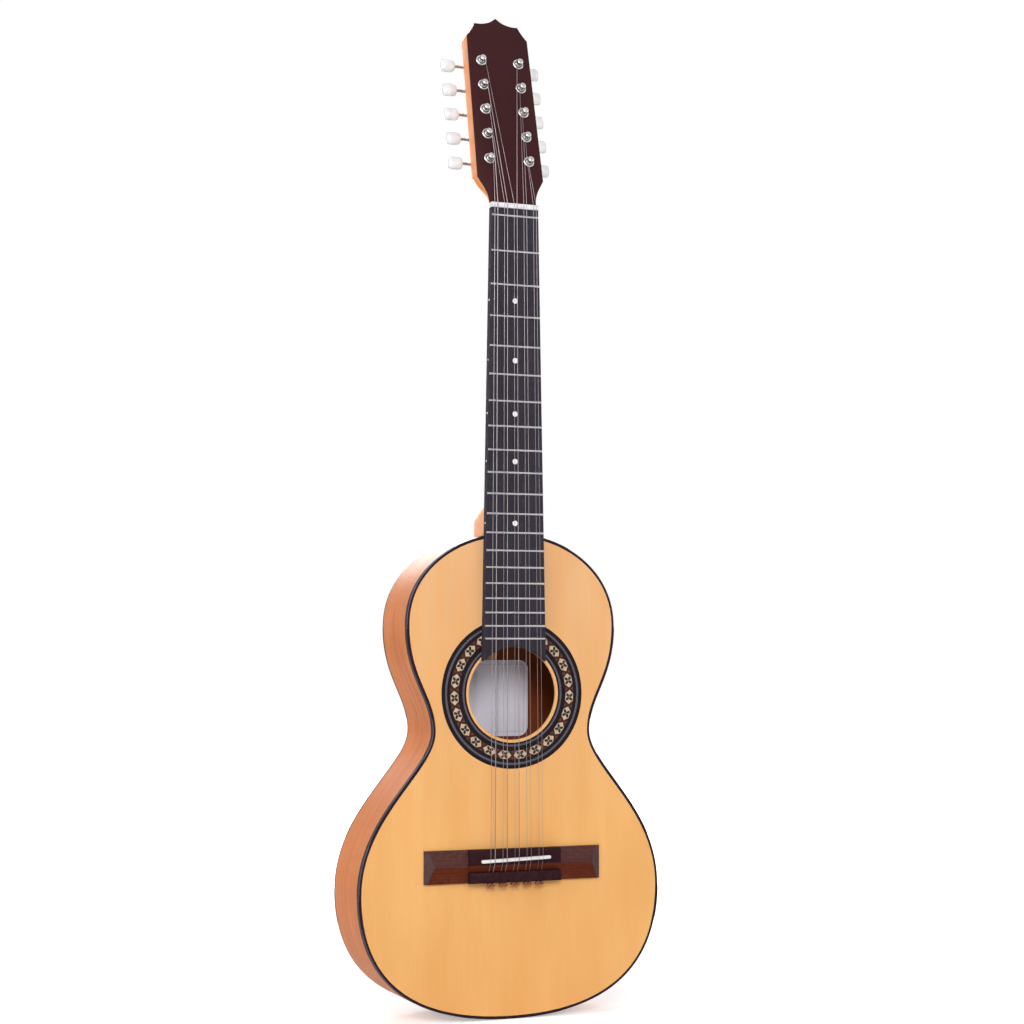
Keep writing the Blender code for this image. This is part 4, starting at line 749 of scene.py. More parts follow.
border = [e for e in bm.edges if e.is_wire]
pushed = ops.extrude_edge_only(bm, edges=border)
ops.translate(bm, verts=points_of(pushed), vec=(0, TOP_THICKNESS, 0))
ops.triangle_fill(bm, edges=border + circle_edges(bm, ROSETTE_OUT, 0.0), use_beauty=True,
                  normal=(0, -1, 0))
far_border = [e for e in lines_of(pushed) if abs(e.verts[0].co.y - e.verts[1].co.y) < 0.01]
ops.triangle_fill(bm, edges=far_border + circle_edges(bm, HOLE_RADIUS + EASED, TOP_THICKNESS),
                  use_beauty=True, normal=(0, 1, 0))
finished(bm, "spruce_soundboard", spruce_finish, replaces=["soundboard"])

# %% [markdown]
# ## The rosette
# A traditional rosette is a ring of wood mosaic between dark rings with fine lines. The rings are
# spun profiles let into the groove. The mosaic repeats one motif twenty-three times: a pale tile
# with a point at each end, four dark petals on it, and red-brown wedges between the tiles.

# %% Rings of the rosette
MOSAIC_IN, MOSAIC_OUT = 52.3, 60.5


def rings_piece(name, finish, spans, proud, replaces=()):
    """Flat rings let into the rosette's groove."""
    bm = bmesh.new()
    for inner, outer in spans:
        ring = [(inner, -proud), (outer, -proud), (outer, GROOVE), (inner, GROOVE)]
        set_in(bm, turned(ring, 144, closed=True), at_hole)
    finished(bm, name, finish, replaces=replaces)


DARK_SPANS = [(ROSETTE_IN, 46.8), (48.6, MOSAIC_IN), (MOSAIC_OUT, 63.4), (65.4, ROSETTE_OUT)]
rings_piece("rosette_dark_rings", black_finish, DARK_SPANS, 0.02, ["rosette"])
rings_piece("rosette_grey_lines", purfling_finish, [(46.8, 48.6), (63.4, 65.4)], 0.03)
rings_piece("rosette_mosaic_ground", ground_finish, [(MOSAIC_IN, MOSAIC_OUT)], 0.02)

# %% Tiles, petals and wedges of the mosaic
MOTIFS = 23
TILE = [(-6.6, 0.0), (-3.1, 3.7), (3.1, 3.7), (6.6, 0.0), (3.1, -3.7), (-3.1, -3.7)]
WEDGE = [(-1.5, 3.8), (1.5, 3.8), (0.0, 1.5)]
PETAL_AT, PETAL_LENGTH, PETAL_WIDTH, PETAL_POINTS = 2.35, 2.0, 1.3, 10


def chip(outline, rise):
    """A thin chip of wood: an outline pushed up by a hair."""
    return sheet_of(outline, -rise, GROOVE * 0.5)


def motif_places(offset=0.0):
    for number in range(MOTIFS):
        angle = 2 * math.pi * (number + offset) / MOTIFS
        yield at_hole @ spun(angle, "Y") @ at(z=(MOSAIC_IN + MOSAIC_OUT) / 2)


def petal_outline(lean):
    """An oval petal that leans out from the tile's centre."""
    points = []
    for step in range(PETAL_POINTS):
        angle = 2 * math.pi * step / PETAL_POINTS
        oval = Vector((PETAL_AT + PETAL_LENGTH * math.cos(angle), PETAL_WIDTH * math.sin(angle)))
        points.append(Matrix.Rotation(lean, 2) @ oval)
    return points


tiles, petals, wedges = bmesh.new(), bmesh.new(), bmesh.new()
for spot in motif_places():
    set_in(tiles, chip(TILE, 0.05), spot)
    for quarter in range(4):
        set_in(petals, chip(petal_outline(math.radians(45 + 90 * quarter)), 0.09), spot)
for spot in motif_places(0.5):
    set_in(wedges, chip(WEDGE, 0.05), spot)
    set_in(wedges, chip([(x, -z) for x, z in WEDGE], 0.05), spot)
finished(tiles, "rosette_tiles", tile_finish)
finished(petals, "rosette_petals", petal_finish)
finished(wedges, "rosette_wedges", wedge_finish)

# %% [markdown]
# ## Binding, sides and back
# The binding is a dark strip let into the corner between top and sides, with its corner scraped
# round and a painted highlight on that round. Each side is a thin strip bent round half the body.
# The back is a flat sheet of the same wood with a fine dark line round its edge. All of them are the
# outline, inset and pushed through. Inside, the bare wood is darkened as painted shade.

# %% Binding
def search_tree(points):
    """A tree that finds the nearest of some points of X and Z."""
    tree = KDTree(len(points))
    for index, point in enumerate(points):
        tree.insert((point.x, 0.0, point.y), index)
    tree.balance()
    return tree


outline_tree, half_tree = search_tree(whole_outline), search_tree(half_outline)


def off_outline(place):
    """How far a place is from the nearest point of the outline, seen from the front."""
    return outline_tree.find((place.x, 0.0, place.z))[2]


def corner_at(bm, depth):
    """The edges that run round the outline at a depth."""
    def on_it(place):
        return off_outline(place) < 0.01 and abs(place.y - depth(place.z)) < 0.01
    return [e for e in bm.edges if all(on_it(v.co) for v in e.verts)]


bm, ring = body_ring(0.0, BINDING_WIDTH)
push(bm, ring, lambda z: BINDING_DEPTH)
round_off(bm, corner_at(bm, lambda z: 0.0), 1.1, 4)
# The faces round the binding's corner get the lighter grey, a painted highlight along its whole length
finished(bm, "edge_binding", binding_finish, replaces=["top_binding"], second=corner_highlight_finish,
         where=lambda face: 0.45 < -face.normal.y < 0.9)

# %% Sides
RIB_THICKNESS, BACK_THICKNESS, TAIL_GAP = 2.0, 2.8, 0.05
SIDES = {"bass": -1, "treble": 1}
arc = [0.0]
for before, after in zip(half_outline, half_outline[1:]):
    arc.append(arc[-1] + (after - before).length)


def back_inside(z):
    return back_depth(z) - BACK_THICKNESS


def lay_along(piece):
    """Writes the map that the side finish reads: length along the rib, and depth, in metres."""
    mesh = piece.data
    layer = mesh.uv_layers.new(name="along_rib")
    for loop in mesh.loops:
        place = mesh.vertices[loop.vertex_index].co
        index = half_tree.find((abs(place.x) / MM, 0.0, place.z / MM))[1]
        layer.data[loop.index].uv = (arc[index] * MM, place.y)


def looks_inside(face):
    """Whether a face of a side is one that looks into the body."""
    return all(off_outline(point.co) >= RIB_THICKNESS / 2 for point in face.verts)


for name, side in SIDES.items():
    bm, ring = body_ring(BINDING_DEPTH, RIB_THICKNESS)
    push(bm, ring, back_inside)
    saw(bm, (side * TAIL_GAP, 0, 0), (-side, 0, 0), keep_all=False)
    # Faces that look into the body get the darker inside colour, a painted shade
    piece = finished(bm, f"bent_side_{name}", side_finish, replaces=[f"rib_{name}"],
                     second=inside_shade_finish, where=looks_inside)
    lay_along(piece)

# %% Back
EDGE_LINE = 1.6

bm, ring = body_ring(0.0, EDGE_LINE)
lay_at(bm, back_inside)
push(bm, ring, back_depth)
round_off(bm, corner_at(bm, back_depth), 0.8, 3)
finished(bm, "back_edge_line", binding_finish)

bm, face = trimmed_sheet(0.0, EDGE_LINE)
lay_at(bm, back_inside)
push(bm, [face], back_depth)
# The back's inner face gets the darker inside colour, a painted shade
finished(bm, "flat_back", back_finish, replaces=["back_panel"], second=inside_shade_finish,
         where=lambda face: face.normal.y < -0.9)

low, high = BODY_BOTTOM + 2, BODY_TOP - 2
seam = sheet_of([(-0.6, low), (0.6, low), (0.6, high), (-0.6, high)], 0.0, 1.0)
for point in seam.verts:
    rise = -1.0 if point.co.y < 0.5 else 0.04
    point.co.y = back_depth(point.co.z) + rise
finished(seam, "back_seam_line", binding_finish)

# %% [markdown]
# ## Linings
# Where thin sides meet thin plates, a strip of soft wood widens the glue joint. It is sawn almost
# through every few millimetres so that it can bend, which leaves a row of small blocks. Insetting
# each face on its own, with a little depth, gives just that row.

# %% Kerfed linings
LINING_WIDTH, BLOCK_HEIGHT = 2.4, 2.2


def lining(name, top_depth, bottom_depth):
    """A strip inside the sides whose inner face stands out in small blocks."""
    bm, ring = body_ring(0.0, RIB_THICKNESS + LINING_WIDTH, RIB_THICKNESS)
    lay_at(bm, top_depth)
    push(bm, ring, bottom_depth)
    ops.recalc_face_normals(bm, faces=bm.faces)
    inner = [f for f in bm.faces
             if abs(f.normal.y) < 0.5 and off_outline(f.calc_center_median()) > RIB_THICKNESS + 1.6]
    ops.inset_individual(bm, faces=inner, thickness=0.35, depth=BLOCK_HEIGHT)
    finished(bm, name, inner_finish, crisp=20.0)


lining("front_lining", lambda z: TOP_THICKNESS + 3.0, lambda z: TOP_THICKNESS + 13.0)
lining("back_lining", lambda z: back_inside(z) - 12.0, lambda z: back_inside(z) - 0.05)

# %% [markdown]
# ## The paper label
# The label is glued to the inside of the back and steps over the strip that backs the centre
# seam. It is a sheet with round corners. The finish adds paper fibres and a thin plain border.

# %% Label
LABEL_W, LABEL_H, LABEL_Z, LABEL_CORNER = 85.0, 72.0, HOLE_Z - 6.0, 9.0
CORNER_STEPS = 6


def round_rectangle(half_width, half_height, corner, middle_z=0.0):
    points = []
    for quarter, (sx, sz) in enumerate(((1, 1), (-1, 1), (-1, -1), (1, -1))):
        for step in range(CORNER_STEPS + 1):
            angle = math.pi / 2 * (quarter + step / CORNER_STEPS)
            points.append((sx * (half_width - corner) + corner * math.cos(angle),
                           middle_z + sz * (half_height - corner) + corner * math.sin(angle)))
    return points


paper_parts = new_finish("label_paper")
_, tree, _, place = paper_parts
on_label = node(tree, "ShaderNodeMapping", {"Vector": place, "Location": (0, 0, -LABEL_Z * MM)}).outputs[0]
axes = axes_of(tree, on_label)
from_side = math_node(tree, "SUBTRACT", LABEL_W / 2 * MM, math_node(tree, "ABSOLUTE", axes["X"]))
from_end = math_node(tree, "SUBTRACT", LABEL_H / 2 * MM, math_node(tree, "ABSOLUTE", axes["Z"]))
nearest = math_node(tree, "MINIMUM", from_side, from_end)
line = math_node(tree, "COMPARE", nearest, 4.0 * MM, 0.35 * MM)
fibres = noise(tree, place, 900.0, 4.0)
paper = blended(tree, fibres, colour(0.98, 0.96, 1.0), colour(0.90, 0.88, 1.0))
aged = blended(tree, noise(tree, place, 28.0, 3.0), paper, colour(0.88, 0.86, 0.99))
printed = blended(tree, math_node(tree, "MULTIPLY", line, 0.4), aged, colour(0.42, 0.41, 0.50))
paper_finish = coat(paper_parts, printed, fibres, 0.00002, 0.8, 0.1, wavy=False)

STRIP_LIFT, STRIP_EDGE, STRIP_STEP = 1.9, 13.0, 3.0
bm = sheet_of(round_rectangle(LABEL_W / 2, LABEL_H / 2, LABEL_CORNER, LABEL_Z), 0.0, 0.4)
for x in (-STRIP_EDGE, STRIP_STEP - STRIP_EDGE, STRIP_EDGE - STRIP_STEP, STRIP_EDGE):
    saw(bm, (x, 0, 0), (1, 0, 0))
for point in bm.verts:
    lift = STRIP_LIFT * min(max((STRIP_EDGE - abs(point.co.x)) / STRIP_STEP, 0.0), 1.0)
    point.co.y += back_inside(point.co.z) - 0.72 - lift
finished(bm, "paper_label", paper_finish, replaces=["label"])

# %% [markdown]
# ## Neck, heel and headstock
# The neck is carved from one blank. Its section is a D that swells into the heel at one end and
# flattens into the headstock at the other. The loops of that section are skinned, then the flat
# head is joined on and the holes for the string posts are bored with Booleans, as on the bench.

# %% Measures of the neck and head
NUT_WIDTH, JOINT_WIDTH = 46.1, 56.6
HEAD_THICKNESS, FACING = 14.2, 1.8
HEAD_START, HEAD_LEAN = 12.0, math.radians(14.0)
HEAD = at(z=HEAD_START) @ spun(-HEAD_LEAN, "X")
HALF_SPAN, FIRST_POST, ROW_TAPER = 19.5, 43.6, math.radians(0.6)
POST_SPACING = 25.05
POSTS = [POST_SPACING * number for number in range(5)]


def row(side):
    """From a row of tuners to the headstock's frame."""
    return at(side * HALF_SPAN, 0, FIRST_POST) @ spun(-side * ROW_TAPER, "Y")


def on_row(side, s, depth=0.0):
    """A place in a row of tuners."""
    return HEAD @ row(side) @ at(0, depth, s)


def tuners():
    """Each tuner's name, its side and its distance along the row."""
    for name, side in SIDES.items():
        for number, s in enumerate(POSTS, 1):
            yield f"{name}_{number}", side, s


def board_half(z):
    """Half the fingerboard's width at a height."""
    return (NUT_WIDTH + (JOINT_WIDTH - NUT_WIDTH) * z / BODY_TOP) / 2


FLARE_END, FLARE_HALF = 25.5, 32.3
SIDE_END, SHOULDER = Vector((30.1, 169.5)), Vector((21.5, 182.8))
SCOOP, PEAK = Vector((8.7, 184.3)), Vector((0, 189.8))
SECTION_STEPS = 32


def flare(s):
    """Half the headstock's width at a distance past the nut."""
    start = board_half(HEAD_START)
    bend = Vector((start, FLARE_END * 0.47)), Vector((28.3, 17.5))
    curve = interpolate_bezier(Vector((start, 0)), *bend, Vector((FLARE_HALF, FLARE_END)), 25)
    for low, high in zip(curve, curve[1:]):
        if low.y <= s <= high.y:
            return low.x + (high.x - low.x) * (s - low.y) / max(high.y - low.y, 1e-6)
    return FLARE_HALF + (SIDE_END.x - FLARE_HALF) * (s - FLARE_END) / (SIDE_END.y - FLARE_END)


def head_outline(start):
    """The headstock's outline from a distance past the nut, with its carved crown."""
    stations = [start] + [1.5 * n for n in range(1, 18) if 1.5 * n > start]
    edge = [Vector((flare(s), s)) for s in stations]
    for first, last, bend_a, bend_b in (
        (SIDE_END, SHOULDER, Vector((-0.7, -0.4)), Vector((-0.7, -0.4))),
        (SHOULDER, SCOOP, Vector((0, -1.0)), Vector((0, -1.0))),
        (SCOOP, PEAK, Vector((0, -1.0)), Vector((0, -0.5))),
    ):
        pulls = first.lerp(last, 1 / 3) + bend_a, first.lerp(last, 2 / 3) + bend_b
        edge += interpolate_bezier(first, *pulls, last, 10)[:-1]
    edge.append(PEAK)
    mirrored = [Vector((-p.x, p.y)) for p in reversed(edge[:-1])]
    return [(p.x, p.y) for p in edge + mirrored]


def d_section(half, depth, squareness, deepest):
    """A neck's section, flat in front and round behind."""
    section = []
    for step in range(SECTION_STEPS + 1):
        angle = math.pi * step / SECTION_STEPS
        across = abs(math.cos(angle)) ** (2 / squareness)
        down = math.sin(angle) ** (2 / squareness) if 0 < step < SECTION_STEPS else 0.0
        section.append((math.copysign(half * across, math.cos(angle)), min(depth * down, deepest)))
    return section


HEEL_TOP, HEEL_SHOULDER = BODY_TOP + 23.0, 12.0


def heel_share(z):
    """How much of the heel's depth the neck has at a height."""
    below = HEEL_TOP - z
    throat = 0.06 * max(0.0, 1 + min(below, 0.0) / 4.0) ** 2
    rounded = 1 - min(max(below, 0.0) / HEEL_SHOULDER, 1.0)
    return throat + (1 - throat) * math.sqrt(max(0.0, 1 - rounded ** 2))

# %% Skin the neck's sections
HEEL_CAP = BACK_AT_NECK - 2.5
NECK_AT_BODY, NECK_AT_NUT, HEEL_DEPTH = 17.0, 14.0, 75.0
rings = []
shelf = [HEEL_TOP - HEEL_SHOULDER * (n / 14) ** 2 for n in range(14, 0, -1)]
throat = [HEEL_TOP + 0.5 * n for n in range(9)]
shaft = [HEEL_TOP + 4.0 - HEEL_TOP * n / 16 for n in range(1, 17)]
for z in [BODY_TOP - 2.5, BODY_TOP + 4.0] + shelf + throat + shaft:
    share = heel_share(z)
    along = max((z - HEEL_TOP) / (4.0 - HEEL_TOP), 0.0)
    depth = NECK_AT_BODY - (NECK_AT_BODY - NECK_AT_NUT) * along
    depth += (HEEL_DEPTH - depth) * share
    section = d_section(board_half(z) - 0.4, depth, 1.8 - 0.05 * share, HEEL_CAP)
    rings.append([(x, y, z) for x, y in section])
BLEND_END = FLARE_END * 1.35
for n in range(9):
    share = n / 8
    s = BLEND_END * share
    squareness = 1.8 + 10.2 * share ** 2
    section = d_section(flare(s) - 0.2 * share, HEAD_THICKNESS - 0.4 * share, squareness, HEAD_THICKNESS)
    rings.append([HEAD @ Vector((x, y + 0.2 * share, s)) for x, y in section])
neck_blank = skinned(rings)
print("neck sections:", len(rings))

# %% Join the head, bore the posts' holes and cut the joint with the body
POST_BORE = 3.4


def solid(bm, name):
    """A plain object for a Boolean, in metres."""
    ops.recalc_face_normals(bm, faces=bm.faces)
    ops.scale(bm, vec=(MM, MM, MM), verts=bm.verts)
    mesh = bpy.data.meshes.new(name)
    bm.to_mesh(mesh)
    bm.free()
    return linked(name, mesh)


def evaluated(obj):
    bpy.context.view_layer.update()
    return obj.evaluated_get(bpy.context.evaluated_depsgraph_get())


def combined(base, *tools, joined=()):
    """Joins some solids to a base, then cuts others out, and gives the drawing in millimetres."""
    base = solid(base, "base")
    steps = [(solid(bm, "joined"), "UNION") for bm in joined]
    steps += [(solid(bm, "tool"), "DIFFERENCE") for bm in tools]
    for tool, operation in steps:
        modifier = base.modifiers.new(tool.name, "BOOLEAN")
        modifier.operation = operation
        modifier.solver = "EXACT"
        modifier.object = tool
    bm = bmesh.new()
    bm.from_mesh(evaluated(base).to_mesh())
    ops.scale(bm, vec=(1 / MM, 1 / MM, 1 / MM), verts=bm.verts)
    for obj in [base] + [tool for tool, _ in steps]:
        bpy.data.objects.remove(obj, do_unlink=True)
    return bm


def drill(radius, near, far, steps):
    return turned([(0, near), (radius, near), (radius, far), (0, far)], steps)


def post_bores(near, far):
    """Ten round holes, one for each post."""
    bm = bmesh.new()
    for _, side, s in tuners():
        set_in(bm, drill(POST_BORE, near, far, 32), on_row(side, s))
    return bm


head_plate = sheet_of(head_outline(FLARE_END * 1.15), 0.0, HEAD_THICKNESS)
soften(head_plate, 0.9, 3, behind(HEAD_THICKNESS - 0.01))
body_tool = sheet_of(whole_outline, -3.0, 77.3)
neck = combined(neck_blank, post_bores(-3.0, 17.2), body_tool, joined=[moved(head_plate, HEAD)])
finished(neck, "carved_neck", neck_finish, replaces=["neck"], crisp=38.0)

# %% [markdown]
# ## The headstock's facing and its ferrules
# A thin dark sheet faces the headstock. Ten turned nickel ferrules are pressed into it where the
# string posts come through.

# %% Facing and ferrules
facing = sheet_of(head_outline(0.0), -FACING, 0.0)
soften(facing, 0.25, 2, in_front_of(-FACING + 0.01))
facing = combined(moved(facing, HEAD), post_bores(-8.0, 3.0))
finished(facing, "headstock_facing", facing_finish, replaces=["headstock_veneer"], crisp=38.0)

# Each pair is a radius and how far it stands in front of the facing
FERRULE = (
    (POST_BORE, 0.9), (3.7, 1.5), (4.1, 1.6), (4.6, 1.5), (5.1, 1.1), (5.3, 0.6), (5.3, -0.4),
    (POST_BORE, -0.4),
)
ferrules = bmesh.new()
for _, side, s in tuners():
    ferrule = turned([(radius, -FACING - proud) for radius, proud in FERRULE], 36, closed=True)
    set_in(ferrules, ferrule, on_row(side, s))
finished(ferrules, "post_ferrules", nickel_finish, crisp=50.0)

# %% [markdown]
# ## Fingerboard, frets and position dots
# The board tapers from nut to body and ends in an arc round the sound hole. Twenty frets, one of
# them the zero fret beside the nut, are wire with a round crown. Their spacing follows equal
# temperament: each is the twelfth root of two nearer than the last.

# %% Fingerboard
BOARD_TOP_Y, BOARD_END = -6.6, 7.0
ARC_RADIUS = 42.2
end_z = HOLE_Z + ARC_RADIUS
for _ in range(6):
    half = board_half(end_z)
    end_z = HOLE_Z + math.sqrt(ARC_RADIUS ** 2 - half ** 2)
spread = math.asin(half / ARC_RADIUS)
arc_points = []
for step in range(33):
    angle = spread * (1 - step / 16)
    arc_points.append((ARC_RADIUS * math.sin(angle), HOLE_Z + ARC_RADIUS * math.cos(angle)))
top_half = board_half(BOARD_END)
board = sheet_of([(-top_half, BOARD_END), (top_half, BOARD_END)] + arc_points, BOARD_TOP_Y, 0.0)
soften(board, 0.5, 3, in_front_of(BOARD_TOP_Y + 0.01))
finished(board, "tapered_fingerboard", ebony_finish, replaces=["fretboard"])

# %% Frets
SCALE_LENGTH, FRETS, CROWN = 580.0, 20, 1.1

arch = [math.pi * step / 8 for step in range(9)]
wire_section = [(CROWN * math.cos(angle), CROWN * math.sin(angle)) for angle in arch]
wire_section += [(-0.5, -0.6), (0.5, -0.6)]
frets = bmesh.new()
for number in range(FRETS):
    z = SCALE_LENGTH * (2 ** (-number / 12) - 1)
    half = board_half(z) - 0.3
    wire = skinned([[(x, BOARD_TOP_Y - b, z + a) for a, b in wire_section] for x in (-half, half)])
    for point in wire.verts:
        rise = (BOARD_TOP_Y - point.co.y) / CROWN
        if rise > 0.05:
            point.co.x -= math.copysign(0.55 * rise, point.co.x)
    set_in(frets, wire)
finished(frets, "fret_wires", fret_finish, crisp=50.0)

# %% Position dots
def disc(radius, steps):
    """A round dot whose edge is eased where it comes out of the wood."""
    inner = radius - 0.2 if radius > 2 else radius - 0.1
    return turned([(0, -0.05), (inner, -0.05), (radius, 0.0), (radius, 0.6), (0, 0.6)], steps)


dots = bmesh.new()
DOTS = (-77.8, -132.6, -181.4, -224.9, -281.4)
for z in DOTS:
    set_in(dots, disc(2.5, 32), at(0, BOARD_TOP_Y, z))
for z in DOTS:
    set_in(dots, disc(1.0, 20), at(-board_half(z), -3.6, z) @ spun(-math.pi / 2, "Z"))
finished(dots, "position_dots", dot_finish)

# %% [markdown]
# ## Nut, bridge and saddle
# With a zero fret, the nut only spaces the strings. The bridge has two roof-shaped wings and a
# raised block with the saddle's slot, a channel, and the tie block that the strings pass through.
# The saddle slants, so that the thicker strings are a little longer.

# %% Nut
STRING_SIZES = (0.43, 0.9, 0.36, 0.72, 0.3, 0.6, 0.36, 0.36, 0.3, 0.3)
FRET_TOP, SADDLE_Z, SADDLE_TOP = BOARD_TOP_Y - CROWN, -586.7, -11.5
NUT_TOP, NUT_END = FRET_TOP - 0.4, 11.7
NUT_SLOT = NUT_TOP + 0.7


def string_x(index, z):
    """A string's distance from the middle at a height."""
    pair, which = index // 2 - 2, -1 if index % 2 == 0 else 1
    at_nut = pair * 9.5 + which * 2.8 / 2
    at_saddle = pair * 11.75 + which * 4.1 / 2
    return at_nut + (at_saddle - at_nut) * z / SADDLE_Z


nut_profile = [
    (BOARD_END, 0.0), (BOARD_END, NUT_TOP), (9.6, NUT_TOP), (NUT_END, NUT_TOP + 0.9), (NUT_END, 0.0)]
nut_half = board_half(9.0)
nut = skinned([[(x, y, z) for z, y in nut_profile] for x in (-nut_half, nut_half)])
soften(nut, 0.35, 2, in_front_of(-3))
slots = bmesh.new()
for index, size in enumerate(STRING_SIZES):
    reach = size / 2 + 0.2
    x = string_x(index, 9.0)
    corners = [(x - reach, 5.0), (x + reach, 5.0), (x + reach, 14.0), (x - reach, 14.0)]
    set_in(slots, sheet_of(corners, -10.0, NUT_SLOT))
finished(combined(nut, slots), "bone_nut", bone_finish, replaces=["nut"])

# %% Bridge wings
BRIDGE_FRONT, BRIDGE_WIDTH, BRIDGE_HALF, BLOCK_HALF = -577.1, 30.2, 85.7, 44.5
RIDGE, TIE_FRONT, TIE_DEPTH = BRIDGE_WIDTH * 0.42, BRIDGE_WIDTH - 9.4, -7.0
WING_SECTION = (
    (0.0, 0.0), (0.0, 2.8), (RIDGE, 5.0), (RIDGE + 2.5, 5.0), (TIE_FRONT - 1, 4.25), (TIE_FRONT, 4.0),
    (BRIDGE_WIDTH, 2.8), (BRIDGE_WIDTH, 0.0),
)
BLOCK_SECTION = (
    (0.0, 0.0), (0.0, 7.6), (1.2, 8.4), (RIDGE + 1.2, 8.4), (TIE_FRONT - 0.5, 4.6), (TIE_FRONT, 9.2),
    (BRIDGE_WIDTH, 9.2), (BRIDGE_WIDTH, 0.0),
)


def bridge_part(section, ends):
    """A section of the bridge carried from one end to the other."""
    return skinned([[(x, -height, BRIDGE_FRONT - along) for along, height in section] for x in ends])


wings = bmesh.new()
for side in (-1, 1):
    wing = bridge_part(WING_SECTION, (side * (BLOCK_HALF - 0.5), side * BRIDGE_HALF))
    saw(wing, (side * (BRIDGE_HALF - 9.0), -5.0, 0), (side * 3.3, -9.0, 0), keep_all=False)
    soften(wing, 0.3, 2, in_front_of(-0.5), least=25.0)
    # The bevelled end facets get a lighter grey as a painted reflection, and the facets in front of the
    # ridge a purplish grey as a painted sheen
    for face in wing.faces:
        if face.normal.y < -0.5 and abs(face.normal.x) > 0.2:
            face.material_index = 2
        elif face.calc_center_median().z > BRIDGE_FRONT - RIDGE - 2.5:
            face.material_index = 1
    set_in(wings, wing)
wings_piece = finished(wings, "bridge_wings", bridge_finish, replaces=["bridge"], crisp=5.0)
wings_piece.data.materials.append(wing_sheen_finish)
wings_piece.data.materials.append(end_facet_reflection_finish)

# %% Bridge block and saddle
SADDLE_SLANT = 2.2 / 67.0
AT_SADDLE = at(z=SADDLE_Z) @ spun(-math.asin(SADDLE_SLANT), "Y")

block = bridge_part(BLOCK_SECTION, (-BLOCK_HALF, BLOCK_HALF))
soften(block, 0.35, 2, in_front_of(-2), least=30.0)
slot = moved(sheet_of(round_rectangle(33.7, 1.62, 1.2), -14.0, -4.7), AT_SADDLE)
tie_holes = bmesh.new()
for index in range(10):
    spot = at(string_x(index, -607.0), TIE_DEPTH, BRIDGE_FRONT - BRIDGE_WIDTH) @ spun(math.pi / 2, "X")
    set_in(tie_holes, drill(0.85, -1, 12.4, 20), spot)
finished(combined(block, slot, tie_holes), "bridge_block", block_finish, crisp=28.0,
         second=bridge_finish,
         where=lambda face: 0.2 < -face.normal.z < 0.6 and -8.2 < face.calc_center_median().y < -4.4)

saddle = sheet_of(round_rectangle(33.5, 1.5, 1.1), SADDLE_TOP, -4.75)
soften(saddle, 0.6, 3, in_front_of(SADDLE_TOP + 0.01))
finished(moved(saddle, AT_SADDLE), "bone_saddle", bone_finish, replaces=["saddle"])

# %% [markdown]
# ## String posts, gears and worm shafts
# Each post is turned steel with a waist for the string, and a brass wheel at its back end. A worm
# on the key's shaft drives the wheel. The thread is a circle carried round the shaft while it
# moves along it, which the spin operator does when it is given a step.

# %% Posts with their gears
KEY_DEPTH, KEY_OFFSET, PLATE_BACK = 24.3, 6.2, 15.7
TEETH, PITCH_RADIUS = 14, 4.3
THREAD_PITCH = 2 * math.pi * PITCH_RADIUS / TEETH
POST_PROFILE = (
    (0.0, -9.2), (1.5, -9.15), (2.3, -8.9), (2.75, -8.55), (2.9, -8.1), (2.9, -7.6), (2.75, -7.35),
    (2.3, -7.15), (2.2, -6.8), (2.2, -4.3), (2.3, -4.0), (2.8, -3.7), (3.0, -3.4), (3.0, 16.0), (3.6, 16.05),
    (3.6, KEY_DEPTH), (2.2, KEY_DEPTH), (2.2, 27.0), (1.9, 27.35), (0.0, 27.4),
)
# Each pair is a share of one tooth's turn and the radius there
TOOTH = ((-0.5, 3.7), (-0.43, 3.7), (-0.26, 4.1), (-0.075, 4.58), (0.075, 4.58), (0.26, 4.1), (0.43, 3.7))


def placed(bm, name, finish, body, node_name, place, crisp=32.0):
    """Finishes a piece at its place in a row of tuners."""
    replaces = [node_name] if node_name else ()
    finished(moved(bm, place), name, finish, body, replaces, crisp)


def gear(side):
    """The worm wheel: a disc whose rim points are pulled into teeth, pushed through with a twist."""
    lean = 2.0 * THREAD_PITCH / (2 * math.pi * 1.9) / PITCH_RADIUS
    bm = bmesh.new()
    made = ops.create_circle(bm, cap_ends=True, radius=4.0, segments=TEETH * len(TOOTH))
    for number, point in enumerate(made["verts"]):
        tooth, place = divmod(number, len(TOOTH))
        share, radius = TOOTH[place]
        angle = math.pi / 2 + (tooth + share) * 2 * math.pi / TEETH + side * lean
        point.co = (radius * math.cos(angle), KEY_DEPTH - 2.0, radius * math.sin(angle))
    pushed = points_of(ops.extrude_face_region(bm, geom=bm.faces[:]))
    ops.translate(bm, verts=pushed, vec=(0, 4.0, 0))
    ops.rotate(bm, verts=pushed, cent=(0, 0, 0), matrix=Matrix.Rotation(2 * side * lean, 3, "Y"))
    return bm


for name, side, s in tuners():
    body, spot = f"post_{name}", on_row(side, s)
    placed(turned(POST_PROFILE, 40), f"string_post_{name}", nickel_finish, body,
           f"tuner_post_{name}", spot)
    placed(gear(side), f"worm_wheel_{name}", brass_finish, body, None, spot)

# %% Worm shafts
WORM_LENGTH, THREAD_STEPS = 7.2, 56
SHAFT_PROFILE = ((0, -6.8), (1.25, -6.8), (1.45, -6.6), (1.45, 24.6), (1.25, 24.8), (0, 24.8))


